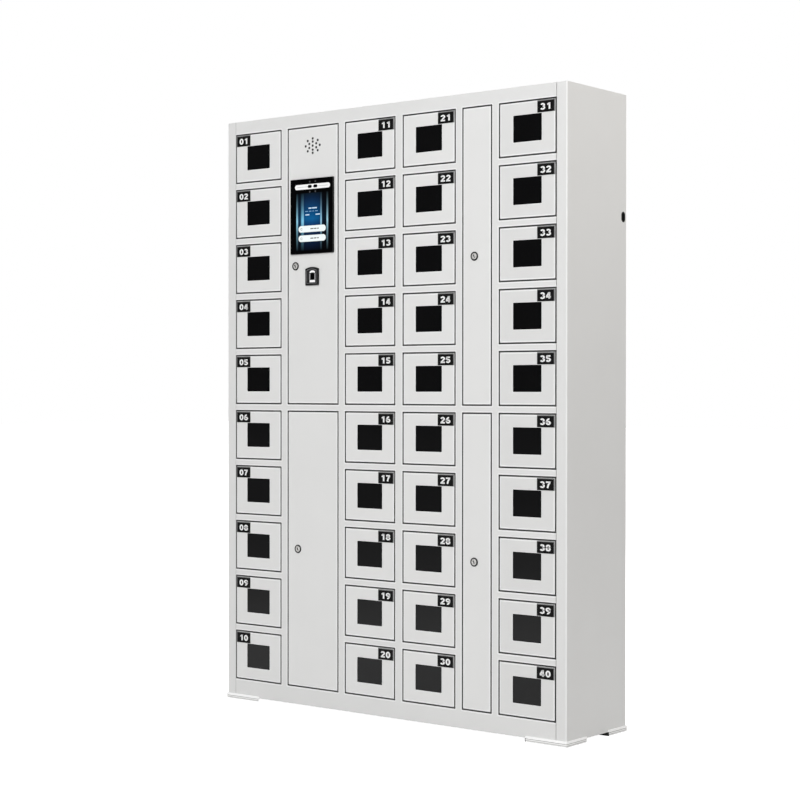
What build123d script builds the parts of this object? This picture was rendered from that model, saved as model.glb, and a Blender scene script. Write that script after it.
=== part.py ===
"""Cell phone locker cabinet: forty small locking doors, two service columns, a control terminal.

Millimetres, +Z up, X across the front, -Y towards the user. The origin is on the floor, under
the middle of the cabinet's bounding box. A depth is counted back from the front face.
"""

from build123d import *
import os
from itertools import accumulate
from math import cos, pi, sin

# ---- Sheet metal ---------------------------------------------------------------------------------
sheet = 1.2  # shell, frame and doors
thin_sheet = 1.0  # shelves, rear walls and back panel
bend_radius = 1.8  # outside radius of a fold
corner_bend_radius = 3.0  # of the side panels' upright corners

# ---- Front layout --------------------------------------------------------------------------------
phone_opening_width = 166.8
control_opening_width = 177.6
wiring_opening_width = 89.6
stile_widths = [22.6, 22.4, 24.0, 20.6, 20.8]  # between columns, left to right
outer_stile_width = 30.0  # the side panels' fold onto the front
phone_opening_height = 133.0
rail_height = 17.0
header_height = 34.5
base_rail_height = 46.5
rows = 10
service_rows = 5  # phone rows beside one service door

# ---- Depths behind the front face ----------------------------------------------------------------
body_depth = 268.0
frame_depth = 18.0  # folds of the stiles and rails
rear_wall_depth = 233.0  # front of the compartments' rear walls
rear_flange_width = 18.0
panel_flange = 15.0  # folds of the top and base panels
edge_clearance = 2.0  # between the back panel's sides and the side panels
corner_relief = 3.0  # notches of the top and base panels round the side panels' bends

# ---- Feet ----------------------------------------------------------------------------------------
foot_height = 9.5  # under the body
foot_lip_height = 5.0  # grips the body's corner above its underside
foot_lip_thickness = 3.0
foot_arm_x = 120.0
foot_arm_y = 88.0
foot_arm_width = 40.0
foot_chamfer = 0.8

# ---- Doors ---------------------------------------------------------------------------------------
door_gap = 3.0
door_fold = 15.0
window_width = 83.0
window_height = 65.0
window_corner = 1.5
pane_overlap = 6.0
pane_thickness = 2.0
plate_width = 50.0
plate_height = 29.0
plate_thickness = 1.0
plate_inset = 1.0  # from the door's edges

# ---- Door hinges: a pin at the top and the bottom of each door -----------------------------------
pin_radius = 1.5
pin_running_clearance = 0.05
pin_head_radius = 2.6
pin_head_height = 1.5
pin_tip = 3.0  # reaches past the frame's fold
hinge_inset = 9.0  # pin axis from the door's edge
hinge_depth = 4.0

# ---- Electric locks and the strikes on the phone doors -------------------------------------------
lock_width = 20.0
lock_length = 44.0
lock_height = 38.0
lock_depth = 20.0  # its mouth, behind the front face
lock_mouth_depth = 19.0
lock_mouth_height = 20.0
strike_thickness = 2.0
strike_height = 14.0
strike_foot = 14.0
strike_reach = 36.0  # its tip, behind the front face
strike_offset = 10.0  # from the opening's edge
strike_side_clearance = 1.5
strike_swing = 2.7  # sideways travel of the tip while it leaves the lock
strike_hole_length = 6.0
strike_hole_height = 8.0

# ---- Cam locks of the service doors --------------------------------------------------------------
cam_inset = 37.7  # lock axis from the opening's left edge
control_cam_inset = 29.0
cam_overlap = 6.0  # past the opening's edge when locked
cam_width = 15.0
cam_thickness = 2.5
cam_screw_radius = 4.0
cam_screw_height = 2.5
cam_running_clearance = 0.6
barrel_radius = 9.0
barrel_flange_radius = 11.0
barrel_flange_proud = 2.5
lock_nut_across_flats = 24.0
lock_nut_height = 3.5
plug_radius = 6.0
plug_running_clearance = 0.05
plug_recess = 0.3
keyway_width = 1.6
keyway_height = 7.0
keyway_depth = 5.0
cam_back_clearance = 4.0  # behind the lever, to the upright

# ---- Control terminal ----------------------------------------------------------------------------
terminal_width = 149.0
terminal_height = 198.0
terminal_corner = 2.0
terminal_proud = 5.0
terminal_below_top = 236.8  # its middle, under the top edge of the opening
terminal_rim = 1.0
terminal_glass = 2.0
terminal_flange_overlap = 7.0
terminal_box_depth = 24.0
display_width = 122.0
display_height = 152.0
display_thickness = 3.0
display_below_middle = 14.5

# ---- Fingerprint reader --------------------------------------------------------------------------
reader_width = 45.3
reader_height = 48.5
reader_arch_rise = 5.0
reader_proud = 4.5
reader_below_top = 395.0
reader_boss_width = 34.0
reader_boss_depth = 20.0
reader_edge = 1.5
sensor_width = 18.0
sensor_height = 22.0
sensor_thickness = 1.5

# ---- Speaker -------------------------------------------------------------------------------------
speaker_below_top = 51.5
speaker_radius = 29.0
speaker_flange = 2.0
speaker_cone_depth = 12.0
speaker_neck_radius = 13.0
speaker_magnet_radius = 16.0
speaker_magnet_depth = 9.0
grille_hole_radius = 2.6
grille_rings = [(6, 14.0, 10.7), (8, 24.5, 19.0)]  # holes, half width and half height of each oval ring

# ---- Cable outlet in the right side panel --------------------------------------------------------
outlet_from_back = 16.0
outlet_below_top = 302.0  # from the cabinet's top
outlet_width = 13.0
outlet_height = 22.0
grommet_flange = 2.0
grommet_flange_thickness = 1.0
grommet_wall = 2.5

# ---- Fastening to a wall, and the back panel's screws --------------------------------------------
anchor_radius = 4.5
anchor_heights = [620.0, 1460.0]
screw_radius = 2.0
screw_clearance = 0.2
screw_head_radius = 4.0
screw_head_height = 1.8
screw_length = 8.0
screws_per_side = 8
screw_end_distance = 60.0

# ---- Electronics in the service columns ----------------------------------------------------------
supply_size = (112.0, 50.0, 215.0)
supply_above_base = 150.0
battery_size = (152.0, 65.0, 94.0)
board_size = (60.0, 1.6, 190.0)
board_standoff = 8.0
standoff_radius = 3.0
standoff_inset = 6.0
board_connector = (8.0, 11.0, 150.0)
board_above_opening = 260.0

# ---- Places worked out from the sizes above ------------------------------------------------------
column_kinds = ["phone", "control", "phone", "phone", "wiring", "phone"]
width_of_kind = {
    "phone": phone_opening_width,
    "control": control_opening_width,
    "wiring": wiring_opening_width,
}
opening_widths = [width_of_kind[kind] for kind in column_kinds]
CONTROL, WIRING = column_kinds.index("control"), column_kinds.index("wiring")
PHONE_COLUMNS = [column for column, kind in enumerate(column_kinds) if kind == "phone"]
LEFT, RIGHT = -1, 1
hinge_sides = [LEFT, RIGHT, RIGHT, LEFT, RIGHT, RIGHT]
plate_sides = [LEFT, RIGHT, RIGHT, RIGHT, RIGHT, RIGHT]

body_width = 2 * outer_stile_width + sum(opening_widths) + sum(stile_widths)
half_width = body_width / 2
widths_in_turn = [w for pair in zip([outer_stile_width, *stile_widths], opening_widths) for w in pair]
edges = [-half_width + run for run in accumulate(widths_in_turn)]
opening_left, opening_right = edges[0::2], edges[1::2]

row_pitch = phone_opening_height + rail_height
service_opening_height = service_rows * row_pitch - rail_height
body_bottom = foot_height
openings_bottom = body_bottom + base_rail_height
openings_top = openings_bottom + rows * row_pitch - rail_height
body_top = openings_top + header_height
row_bottoms = [openings_bottom + row_pitch * (rows - 1 - row) for row in range(rows)]
service_bottoms = [openings_bottom + service_rows * row_pitch, openings_bottom]

front_y = -(body_depth + foot_lip_thickness - terminal_proud) / 2
frame_back_y = front_y + frame_depth
rear_wall_y = front_y + rear_wall_depth
back_panel_y = front_y + body_depth - sheet - thin_sheet
inner_half_width = half_width - sheet


def hinge_x(column):
    """X of the hinge axis of the doors in a column."""
    if hinge_sides[column] == LEFT:
        return opening_left[column] + door_gap + hinge_inset
    return opening_right[column] - door_gap - hinge_inset


def middle_x(column):
    """X of the middle of a column's opening."""
    return (opening_left[column] + opening_right[column]) / 2


def behind_front(depth):
    """Plane parallel to the front, depth behind it: X across, Z up, minus into the cabinet."""
    return Plane.XZ.offset(-front_y - depth)


def plate(x_range, y_range, z_range):
    """A flat rectangular sheet between two values of each axis."""
    size = [high - low for low, high in (x_range, y_range, z_range)]
    middle = tuple((high + low) / 2 for low, high in (x_range, y_range, z_range))
    with BuildPart() as sheet_plate:
        with Locations(middle):
            Box(*size)
    return sheet_plate.part


def folded_sheet(plane, corners, length, thickness_side, radius=bend_radius):
    """A sheet folded through the corners of its outside, drawn on plane and length long."""
    with BuildPart() as folded:
        with BuildSketch(plane):
            with BuildLine():
                FilletPolyline(*corners, radius=radius)
                offset(amount=sheet, side=thickness_side)
            make_face()
        extrude(amount=length)
    return folded.part


def export(name, pieces):
    """Write the solids of one node, each kept apart."""
    node = Compound(label=name, children=list(pieces))
    export_step(node, f"parts/{name}.step")


os.makedirs("parts", exist_ok=True)

# ---- Shell: two side panels folded onto the front and the back, a top and a base panel -----------
screw_x = half_width - rear_flange_width / 2
screw_pitch = (body_top - body_bottom - 2 * screw_end_distance) / (screws_per_side - 1)
body_middle_z = (body_bottom + body_top) / 2
screw_places = GridLocations(2 * screw_x, screw_pitch, 2, screws_per_side).locations
back_plane = Plane.XZ.offset(-front_y - body_depth).shift_origin((0, front_y + body_depth, body_middle_z))

wrap = folded_sheet(
    Plane.XY.offset(body_bottom),
    [
        (half_width - outer_stile_width, front_y),
        (half_width, front_y),
        (half_width, front_y + body_depth),
        (half_width - rear_flange_width, front_y + body_depth),
    ],
    body_top - body_bottom,
    Side.LEFT,
    corner_bend_radius,
)
fold_edge = half_width - outer_stile_width

with BuildPart() as side_panel_plain:
    add(wrap)
    with BuildSketch(Plane.XY.offset(body_bottom + sheet)):
        with Locations((fold_edge, front_y)):
            Rectangle(sheet, frame_depth, align=(Align.MIN, Align.MIN))
    extrude(amount=body_top - body_bottom - 2 * sheet)
    with BuildSketch(back_plane):
        with Locations(screw_places):
            Circle(screw_radius + screw_clearance)
    extrude(amount=sheet, mode=Mode.SUBTRACT)

outlet_z = body_top - outlet_below_top
outlet_y = front_y + body_depth - outlet_from_back
outlet_plane = Plane.YZ.offset(half_width).shift_origin((half_width, outlet_y, outlet_z))

with BuildPart() as side_panel_right:
    add(side_panel_plain.part)
    with BuildSketch(outlet_plane):
        SlotOverall(outlet_height, outlet_width, rotation=90)
    extrude(amount=-sheet, mode=Mode.SUBTRACT)

with BuildPart() as side_panel_left:
    add(mirror(side_panel_plain.part, about=Plane.YZ, mode=Mode.PRIVATE))

panel_length = back_panel_y - front_y - sheet


def relieved(panel):
    """A top or base panel notched at its corners, where the side panels are bent."""
    x_edges, y_edges = (-inner_half_width, inner_half_width), (front_y + sheet, back_panel_y)
    with BuildPart() as notched:
        add(panel)
        with Locations(*[(x, y, body_middle_z) for x in x_edges for y in y_edges]):
            Box(2 * corner_relief, 2 * corner_relief, 2 * body_top, mode=Mode.SUBTRACT)
    return notched.part


top_panel = folded_sheet(
    Plane.XZ.offset(-back_panel_y),
    [
        (-inner_half_width, body_top - panel_flange),
        (-inner_half_width, body_top),
        (inner_half_width, body_top),
        (inner_half_width, body_top - panel_flange),
    ],
    panel_length,
    Side.RIGHT,
)
base_panel = folded_sheet(
    Plane.XZ.offset(-back_panel_y),
    [
        (-inner_half_width, body_bottom + panel_flange),
        (-inner_half_width, body_bottom),
        (inner_half_width, body_bottom),
        (inner_half_width, body_bottom + panel_flange),
    ],
    panel_length,
    Side.LEFT,
)
export(
    "shell_panels",
    [side_panel_left.part, side_panel_right.part, relieved(top_panel), relieved(base_panel)],
)

# ---- Back panel with the wall anchors' holes, and its screws -------------------------------------
anchor_points = [(middle_x(column), z) for column in (CONTROL, WIRING) for z in anchor_heights]

with BuildPart() as back_panel:
    with BuildSketch(Plane.XZ.offset(-back_panel_y)):
        with Locations((0, body_middle_z)):
            Rectangle(2 * (inner_half_width - edge_clearance), body_top - body_bottom)
        with Locations(*anchor_points):
            Circle(anchor_radius, mode=Mode.SUBTRACT)
    extrude(amount=-thin_sheet)
    with BuildSketch(back_plane):
        with Locations(screw_places):
            Circle(screw_radius + screw_clearance)
    extrude(amount=sheet + thin_sheet, mode=Mode.SUBTRACT)
back_panel.part.label = "back_panel"

with BuildPart() as back_screws:
    with BuildSketch(back_plane):
        with Locations(screw_places):
            Circle(screw_head_radius)
    extrude(amount=-screw_head_height)
    with BuildSketch(back_plane):
        with Locations(screw_places):
            Circle(screw_radius)
    extrude(amount=screw_length)
export("back_panel", [back_panel.part, *back_screws.solids()])

# ---- Front frame: header, base rail, stiles between the columns, rails between the doors ---------
frame_length = 2 * fold_edge
hinge_points = [(hinge_x(column), front_y + hinge_depth) for column in range(len(opening_widths))]

header_channel = folded_sheet(
    Plane.YZ.offset(-fold_edge),
    [(frame_back_y, openings_top), (front_y, openings_top), (front_y, body_top)],
    frame_length,
    Side.RIGHT,
)
base_channel = folded_sheet(
    Plane.YZ.offset(-fold_edge),
    [(frame_back_y, openings_bottom), (front_y, openings_bottom), (front_y, body_bottom)],
    frame_length,
    Side.LEFT,
)

with BuildPart() as header:
    add(header_channel)
    with BuildSketch(Plane.XY.offset(openings_top)):
        with Locations(*hinge_points):
            Circle(pin_radius + pin_running_clearance)
    extrude(amount=sheet, mode=Mode.SUBTRACT)

with BuildPart() as base_rail:
    add(base_channel)
    with BuildSketch(Plane.XY.offset(openings_bottom)):
        with Locations(*hinge_points):
            Circle(pin_radius + pin_running_clearance)
    extrude(amount=-sheet, mode=Mode.SUBTRACT)


def stile(column):
    """The channel between a column and the next one."""
    left, right = opening_right[column], opening_left[column + 1]
    corners = [(left, frame_back_y), (left, front_y), (right, front_y), (right, frame_back_y)]
    return folded_sheet(
        Plane.XY.offset(openings_bottom), corners, openings_top - openings_bottom, Side.LEFT
    )


def rails(column, undersides):
    """The channels across a column, drilled for the hinge pins above and below."""
    low, high = undersides[0], undersides[0] + rail_height
    channel = folded_sheet(
        Plane.YZ.offset(opening_left[column]),
        [(frame_back_y, low), (front_y, low), (front_y, high), (frame_back_y, high)],
        opening_widths[column],
        Side.RIGHT,
    )
    with BuildPart() as drilled:
        add(channel)
        with BuildSketch(Plane.XY.offset(low)):
            with Locations(hinge_points[column]):
                Circle(pin_radius + pin_running_clearance)
        extrude(amount=rail_height, mode=Mode.SUBTRACT)
    return [drilled.part.moved(Location((0, 0, z - low))) for z in undersides]


frame_rails = []
for column in range(len(opening_widths)):
    bottoms = row_bottoms if column in PHONE_COLUMNS else service_bottoms
    frame_rails += rails(column, [bottom - rail_height for bottom in bottoms[:-1]])
frame_stiles = [stile(column) for column in range(len(stile_widths))]
export("front_frame", [header.part, base_rail.part, *frame_stiles, *frame_rails])

# ---- Compartment walls: uprights behind the frame, and a rear wall behind each phone column ------
cam_insets = {CONTROL: [control_cam_inset, cam_inset], WIRING: [cam_inset, cam_inset]}
cam_heights = [bottom + service_opening_height / 2 for bottom in service_bottoms]
cam_front = frame_depth + cam_running_clearance
cam_room = cam_running_clearance + cam_thickness + cam_back_clearance


def upright(column, side, setback=0.0):
    """The sheet that stands at one side of a column's opening, behind the stile's fold."""
    edge = opening_left[column] - sheet if side == LEFT else opening_right[column]
    y_range = (frame_back_y + setback, rear_wall_y + thin_sheet)
    return plate((edge, edge + sheet), y_range, (body_bottom + sheet, body_top - sheet))


def column_span(column):
    """X range of a column's inside: the outer columns reach the side panels."""
    low = -inner_half_width if column == 0 else opening_left[column]
    high = inner_half_width if column == len(opening_widths) - 1 else opening_right[column]
    return low, high


rear_walls = [
    plate(
        column_span(column),
        (rear_wall_y, rear_wall_y + thin_sheet),
        (body_bottom + panel_flange, body_top - panel_flange),
    )
    for column in PHONE_COLUMNS
]
uprights = [upright(column, RIGHT) for column in range(len(stile_widths))]
uprights += [upright(column, LEFT) for column in PHONE_COLUMNS[1:]]
uprights += [upright(column, LEFT, cam_room) for column in (CONTROL, WIRING)]  # cams turn before them
export("compartment_walls", [*uprights, *rear_walls])

# ---- Shelves: the floor of each compartment and each service bay ---------------------------------
shelves = []
for column in range(len(opening_widths)):
    shelf_back = rear_wall_y if column in PHONE_COLUMNS else rear_wall_y + thin_sheet
    bottoms = row_bottoms if column in PHONE_COLUMNS else service_bottoms
    for bottom in bottoms:
        z_range = (bottom - thin_sheet, bottom)
        shelves.append(plate(column_span(column), (frame_back_y, shelf_back), z_range))
export("shelves", shelves)

# ---- Corner feet: an angle under the body with a lip round its corner ----------------------------
foot_corner_x = half_width + foot_lip_thickness
foot_corner_y = front_y - foot_lip_thickness

with BuildPart() as front_right_foot:
    with BuildSketch() as foot_outline:
        with Locations((foot_corner_x, foot_corner_y)):
            Rectangle(foot_arm_x, foot_arm_width, align=(Align.MAX, Align.MIN))
            Rectangle(foot_arm_width, foot_arm_y, align=(Align.MAX, Align.MIN))
        corner = foot_outline.vertices().sort_by_distance((foot_corner_x, foot_corner_y, 0))[0]
        fillet(corner, foot_lip_thickness)
    extrude(amount=foot_height + foot_lip_height)
    with BuildSketch(Plane.XY.offset(foot_height)):
        with Locations((half_width, front_y)):
            Rectangle(2 * foot_arm_x, 2 * foot_arm_y, align=(Align.MAX, Align.MIN))
    extrude(amount=foot_lip_height, mode=Mode.SUBTRACT)
    rim = front_right_foot.faces().sort_by(Axis.Z)[-1].edges()
    outer_rim = rim.filter_by(
        lambda edge: (edge @ 0.5).X > half_width + 0.7 * foot_lip_thickness
        or (edge @ 0.5).Y < front_y - 0.7 * foot_lip_thickness
    )
    chamfer(outer_rim, foot_chamfer)

body_middle_y = front_y + body_depth / 2
behind_middle = Plane.XZ.offset(-body_middle_y)
rear_right_foot = mirror(front_right_foot.part, about=behind_middle, mode=Mode.PRIVATE)
right_feet = [front_right_foot.part, rear_right_foot]
left_feet = [mirror(foot, about=Plane.YZ, mode=Mode.PRIVATE) for foot in right_feet]
export("corner_feet", [*right_feet, *left_feet])

# ---- Electric locks: sealed cases on the uprights, beside each phone door's free edge ------------
mouth_width = strike_thickness + strike_swing + 2 * strike_side_clearance

with BuildPart() as electric_lock:
    with Locations((-lock_width / 2, lock_depth + lock_length / 2, 0)):
        Box(lock_width, lock_length, lock_height)
    with Locations((-strike_offset + strike_swing / 2, lock_depth, 0)):
        Box(mouth_width, 2 * lock_mouth_depth, lock_mouth_height, mode=Mode.SUBTRACT)
mirrored_lock = mirror(electric_lock.part, about=Plane.YZ, mode=Mode.PRIVATE)

locks = []
for column in PHONE_COLUMNS:
    free_right = hinge_sides[column] == LEFT
    lock = electric_lock.part if free_right else mirrored_lock
    edge = opening_right[column] if free_right else opening_left[column]
    for bottom in row_bottoms:
        locks.append(lock.moved(Location((edge, front_y, bottom + phone_opening_height / 2))))
export("electric_locks", locks)

# ---- Phone door, about the middle of its front face, hinged at its left --------------------------
door_width = phone_opening_width - 2 * door_gap
door_height = phone_opening_height - 2 * door_gap


def door_pan(width, height):
    """A sheet folded back on all four sides, its front face on Y = 0."""
    with BuildPart() as pan:
        with BuildSketch(Plane.XZ):
            Rectangle(width, height)
        extrude(amount=-door_fold)
        fillet(pan.faces().sort_by(Axis.Y)[0].edges(), bend_radius)
        with BuildSketch(Plane.XZ.offset(-sheet)):
            Rectangle(width - 2 * sheet, height - 2 * sheet)
        extrude(amount=sheet - door_fold, mode=Mode.SUBTRACT)
        with BuildSketch(Plane.XY.offset(-height / 2)):
            with Locations((hinge_inset - width / 2, hinge_depth)):
                Circle(pin_radius)
        extrude(amount=height, mode=Mode.SUBTRACT)
    return pan.part


def hinge_pins(width, height):
    """The top and bottom pins of a door hinged at its left, headed inside its folds."""
    fold_inside = height / 2 - sheet
    with BuildPart() as top_pin:
        with BuildSketch(Plane.XY.offset(fold_inside - pin_head_height)):
            with Locations((hinge_inset - width / 2, hinge_depth)):
                Circle(pin_head_radius)
        extrude(amount=pin_head_height)
        with BuildSketch(Plane.XY.offset(fold_inside)):
            with Locations((hinge_inset - width / 2, hinge_depth)):
                Circle(pin_radius)
        extrude(amount=2 * sheet + door_gap + pin_tip)
    return [top_pin.part, mirror(top_pin.part, about=Plane.XY, mode=Mode.PRIVATE)]


with BuildPart() as phone_panel:
    add(door_pan(door_width, door_height))
    with BuildSketch(Plane.XZ):
        RectangleRounded(window_width, window_height, window_corner)
    extrude(amount=-sheet, mode=Mode.SUBTRACT)

with BuildPart() as window_pane:
    with BuildSketch(Plane.XZ.offset(-sheet)):
        Rectangle(window_width + 2 * pane_overlap, window_height + 2 * pane_overlap)
    extrude(amount=-pane_thickness)

with BuildPart() as number_plate:
    with BuildSketch(Plane.XZ):
        with Locations((door_width / 2 - plate_inset, door_height / 2 - plate_inset)):
            Rectangle(plate_width, plate_height, align=(Align.MAX, Align.MAX))
    extrude(amount=plate_thickness)

strike_x = door_width / 2 + door_gap - strike_offset

with BuildPart() as strike:
    with BuildSketch(Plane.XY.offset(-strike_height / 2)):
        with Locations((strike_x + strike_thickness / 2, sheet)):
            Rectangle(strike_foot, strike_thickness, align=(Align.MAX, Align.MIN))
            Rectangle(strike_thickness, strike_reach - sheet, align=(Align.MAX, Align.MIN))
    extrude(amount=strike_height)
    with Locations((strike_x, strike_reach - strike_thickness - strike_hole_length / 2, 0)):
        Box(2 * strike_thickness, strike_hole_length, strike_hole_height, mode=Mode.SUBTRACT)

mirrored = {
    piece: mirror(piece.part, about=Plane.YZ, mode=Mode.PRIVATE)
    for piece in (phone_panel, number_plate, strike)
}
phone_pins = hinge_pins(door_width, door_height)
phone_pins_right = [mirror(pin, about=Plane.YZ, mode=Mode.PRIVATE) for pin in phone_pins]

for index, column in enumerate(PHONE_COLUMNS):
    if hinge_sides[column] == LEFT:
        pieces = [phone_panel.part, strike.part, *phone_pins]
    else:
        pieces = [mirrored[phone_panel], mirrored[strike], *phone_pins_right]
    pieces.append(mirrored[number_plate] if plate_sides[column] == LEFT else number_plate.part)
    pieces.append(window_pane.part)
    for row, bottom in enumerate(row_bottoms):
        place = Location((middle_x(column), front_y, bottom + phone_opening_height / 2))
        number = index * rows + row + 1
        export(f"door_{number:02}", [piece.moved(place) for piece in pieces])

# ---- Cam lock, about its axis on the door's front face: fixed barrel and nut, turning plug and cam 
plug_back = cam_front

with BuildPart() as lock_barrel:
    with BuildSketch(Plane.XZ):
        Circle(barrel_flange_radius)
    extrude(amount=barrel_flange_proud)
    fillet(lock_barrel.faces().sort_by(Axis.Y)[0].edges(), barrel_flange_proud / 3)
    with BuildSketch(Plane.XZ):
        Circle(barrel_radius)
    extrude(amount=-frame_depth)
    with BuildSketch(Plane.XZ.offset(barrel_flange_proud)):
        Circle(plug_radius + plug_running_clearance)
    extrude(amount=-barrel_flange_proud - frame_depth, mode=Mode.SUBTRACT)

with BuildPart() as lock_nut:
    with BuildSketch(Plane.XZ.offset(-sheet)):
        RegularPolygon(lock_nut_across_flats / 2, 6, major_radius=False)
        Circle(barrel_radius, mode=Mode.SUBTRACT)
    extrude(amount=-lock_nut_height)

with BuildPart() as lock_plug:
    with BuildSketch(Plane.XZ.offset(barrel_flange_proud - plug_recess)):
        Circle(plug_radius)
    extrude(amount=plug_recess - barrel_flange_proud - plug_back)
    with BuildSketch(Plane.XZ.offset(barrel_flange_proud - plug_recess)):
        Rectangle(keyway_width, keyway_height)
    extrude(amount=-keyway_depth, mode=Mode.SUBTRACT)

with BuildPart() as cam_screw:
    with BuildSketch(Plane.XZ.offset(-plug_back - cam_thickness)):
        Circle(cam_screw_radius)
    extrude(amount=-cam_screw_height)


def cam_lever(inset):
    """A flat lever that hangs from the plug, long enough to reach behind the stile."""
    reach = inset + cam_overlap
    with BuildPart() as lever:
        with BuildSketch(Plane.XZ.offset(-plug_back)):
            with Locations((0, (cam_width / 2 - reach) / 2)):
                SlotOverall(reach + cam_width / 2, cam_width, rotation=90)
            with Locations((0, (cam_width / 2 - reach) / 2 - cam_width / 4)):
                Rectangle(cam_width, reach)
        extrude(amount=-cam_thickness)
    return lever.part


def service_door(column):
    """Panel and hinge pins of a service door about the middle of its front, hinged at its right."""
    width = opening_widths[column] - 2 * door_gap
    height = service_opening_height - 2 * door_gap
    pan = mirror(door_pan(width, height), about=Plane.YZ, mode=Mode.PRIVATE)
    pins = [mirror(pin, about=Plane.YZ, mode=Mode.PRIVATE) for pin in hinge_pins(width, height)]
    return pan, pins


def cut_for_lock(pan, column, inset):
    """The panel with its lock's hole, on its middle height."""
    with BuildPart() as panel:
        add(pan)
        with BuildSketch(Plane.XZ):
            with Locations((inset - opening_widths[column] / 2, 0)):
                Circle(barrel_radius)
        extrude(amount=-sheet, mode=Mode.SUBTRACT)
    return panel.part


# ---- Control terminal, fingerprint reader and speaker, on the upper control door -----------------
control_top = service_opening_height / 2
terminal_z = control_top - terminal_below_top
reader_z = control_top - reader_below_top
speaker_z = control_top - speaker_below_top
terminal_box_width = terminal_width - 2 * terminal_flange_overlap
terminal_box_height = terminal_height - 2 * terminal_flange_overlap

with BuildPart() as terminal_housing:
    with BuildSketch(Plane.XZ):
        with Locations((0, terminal_z)):
            RectangleRounded(terminal_width, terminal_height, terminal_corner)
    extrude(amount=terminal_proud)
    with BuildSketch(Plane.XZ):
        with Locations((0, terminal_z)):
            Rectangle(terminal_box_width, terminal_box_height)
    extrude(amount=-terminal_box_depth)
    with BuildSketch(Plane.XZ.offset(terminal_proud)):
        with Locations((0, terminal_z)):
            Rectangle(terminal_width - 2 * terminal_rim, terminal_height - 2 * terminal_rim)
    extrude(amount=-terminal_glass, mode=Mode.SUBTRACT)
    with BuildSketch(Plane.XZ.offset(terminal_proud - terminal_glass)):
        with Locations((0, terminal_z - display_below_middle)):
            Rectangle(display_width, display_height)
    extrude(amount=-display_thickness, mode=Mode.SUBTRACT)

with BuildPart() as terminal_front_glass:
    with BuildSketch(Plane.XZ.offset(terminal_proud)):
        with Locations((0, terminal_z)):
            Rectangle(terminal_width - 2 * terminal_rim, terminal_height - 2 * terminal_rim)
    extrude(amount=-terminal_glass)

with BuildPart() as terminal_display:
    with BuildSketch(Plane.XZ.offset(terminal_proud - terminal_glass)):
        with Locations((0, terminal_z - display_below_middle)):
            Rectangle(display_width, display_height)
    extrude(amount=-display_thickness)

reader_side_top = reader_z + reader_height / 2 - reader_arch_rise

with BuildPart() as reader_housing:
    with BuildSketch(Plane.XZ):
        with BuildLine():
            base_line = Polyline(
                (-reader_width / 2, reader_side_top),
                (-reader_width / 2, reader_z - reader_height / 2),
                (reader_width / 2, reader_z - reader_height / 2),
                (reader_width / 2, reader_side_top),
            )
            ThreePointArc(base_line @ 1, (0, reader_z + reader_height / 2), base_line @ 0)
        make_face()
    extrude(amount=reader_proud)
    fillet(reader_housing.faces().sort_by(Axis.Y)[0].edges(), reader_edge)
    with BuildSketch(Plane.XZ):
        with Locations((0, reader_z)):
            Rectangle(reader_boss_width, reader_boss_width)
    extrude(amount=-reader_boss_depth)
    with BuildSketch(Plane.XZ.offset(reader_proud)):
        with Locations((0, reader_z)):
            Rectangle(sensor_width, sensor_height)
    extrude(amount=-sensor_thickness, mode=Mode.SUBTRACT)

with BuildPart() as reader_sensor:
    with BuildSketch(Plane.XZ.offset(reader_proud)):
        with Locations((0, reader_z)):
            Rectangle(sensor_width, sensor_height)
    extrude(amount=-sensor_thickness)

with BuildPart() as speaker:
    with BuildSketch(Plane.YZ):
        with BuildLine():
            Polyline(
                (sheet, speaker_z),
                (sheet, speaker_z + speaker_radius),
                (sheet + speaker_flange, speaker_z + speaker_radius),
                (sheet + speaker_cone_depth, speaker_z + speaker_neck_radius),
                (sheet + speaker_cone_depth, speaker_z + speaker_magnet_radius),
                (sheet + speaker_cone_depth + speaker_magnet_depth, speaker_z + speaker_magnet_radius),
                (sheet + speaker_cone_depth + speaker_magnet_depth, speaker_z),
                close=True,
            )
        make_face()
    revolve(axis=Axis((0, 0, speaker_z), (0, 1, 0)))

grille_points = [
    (half_wide * cos(angle), speaker_z + half_high * sin(angle))
    for holes, half_wide, half_high in grille_rings
    for angle in [pi / 2 + 2 * pi * hole / holes for hole in range(holes)]
]
control_pan, control_pins = service_door(CONTROL)
with BuildPart() as control_panel:
    add(cut_for_lock(control_pan, CONTROL, control_cam_inset))
    with BuildSketch(Plane.XZ):
        with Locations((0, terminal_z)):
            Rectangle(terminal_box_width, terminal_box_height)
        with Locations((0, reader_z)):
            Rectangle(reader_boss_width, reader_boss_width)
        with Locations((0, speaker_z), *grille_points):
            Circle(grille_hole_radius)
    extrude(amount=-sheet, mode=Mode.SUBTRACT)

wiring_pan, wiring_pins = service_door(WIRING)
lower_panel = cut_for_lock(control_pan, CONTROL, cam_inset)
wiring_panel = cut_for_lock(wiring_pan, WIRING, cam_inset)

# ---- Service doors and their locks in place ------------------------------------------------------
service_doors = [
    ("control_door", CONTROL, 0, control_panel.part, control_pins),
    ("power_door", CONTROL, 1, lower_panel, control_pins),
    ("upper_wiring_door", WIRING, 0, wiring_panel, wiring_pins),
    ("lower_wiring_door", WIRING, 1, wiring_panel, wiring_pins),
]
for name, column, level, panel, pins in service_doors:
    inset = cam_insets[column][level]
    door_place = Location((middle_x(column), front_y, cam_heights[level]))
    lock_place = Location((opening_left[column] + inset, front_y, cam_heights[level]))
    fixed_lock = [lock_barrel.part.moved(lock_place), lock_nut.part.moved(lock_place)]
    export(name, [*(piece.moved(door_place) for piece in (panel, *pins)), *fixed_lock])
    turning = (lock_plug.part, cam_lever(inset), cam_screw.part)
    export(f"{name}_cam", [piece.moved(lock_place) for piece in turning])

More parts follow.
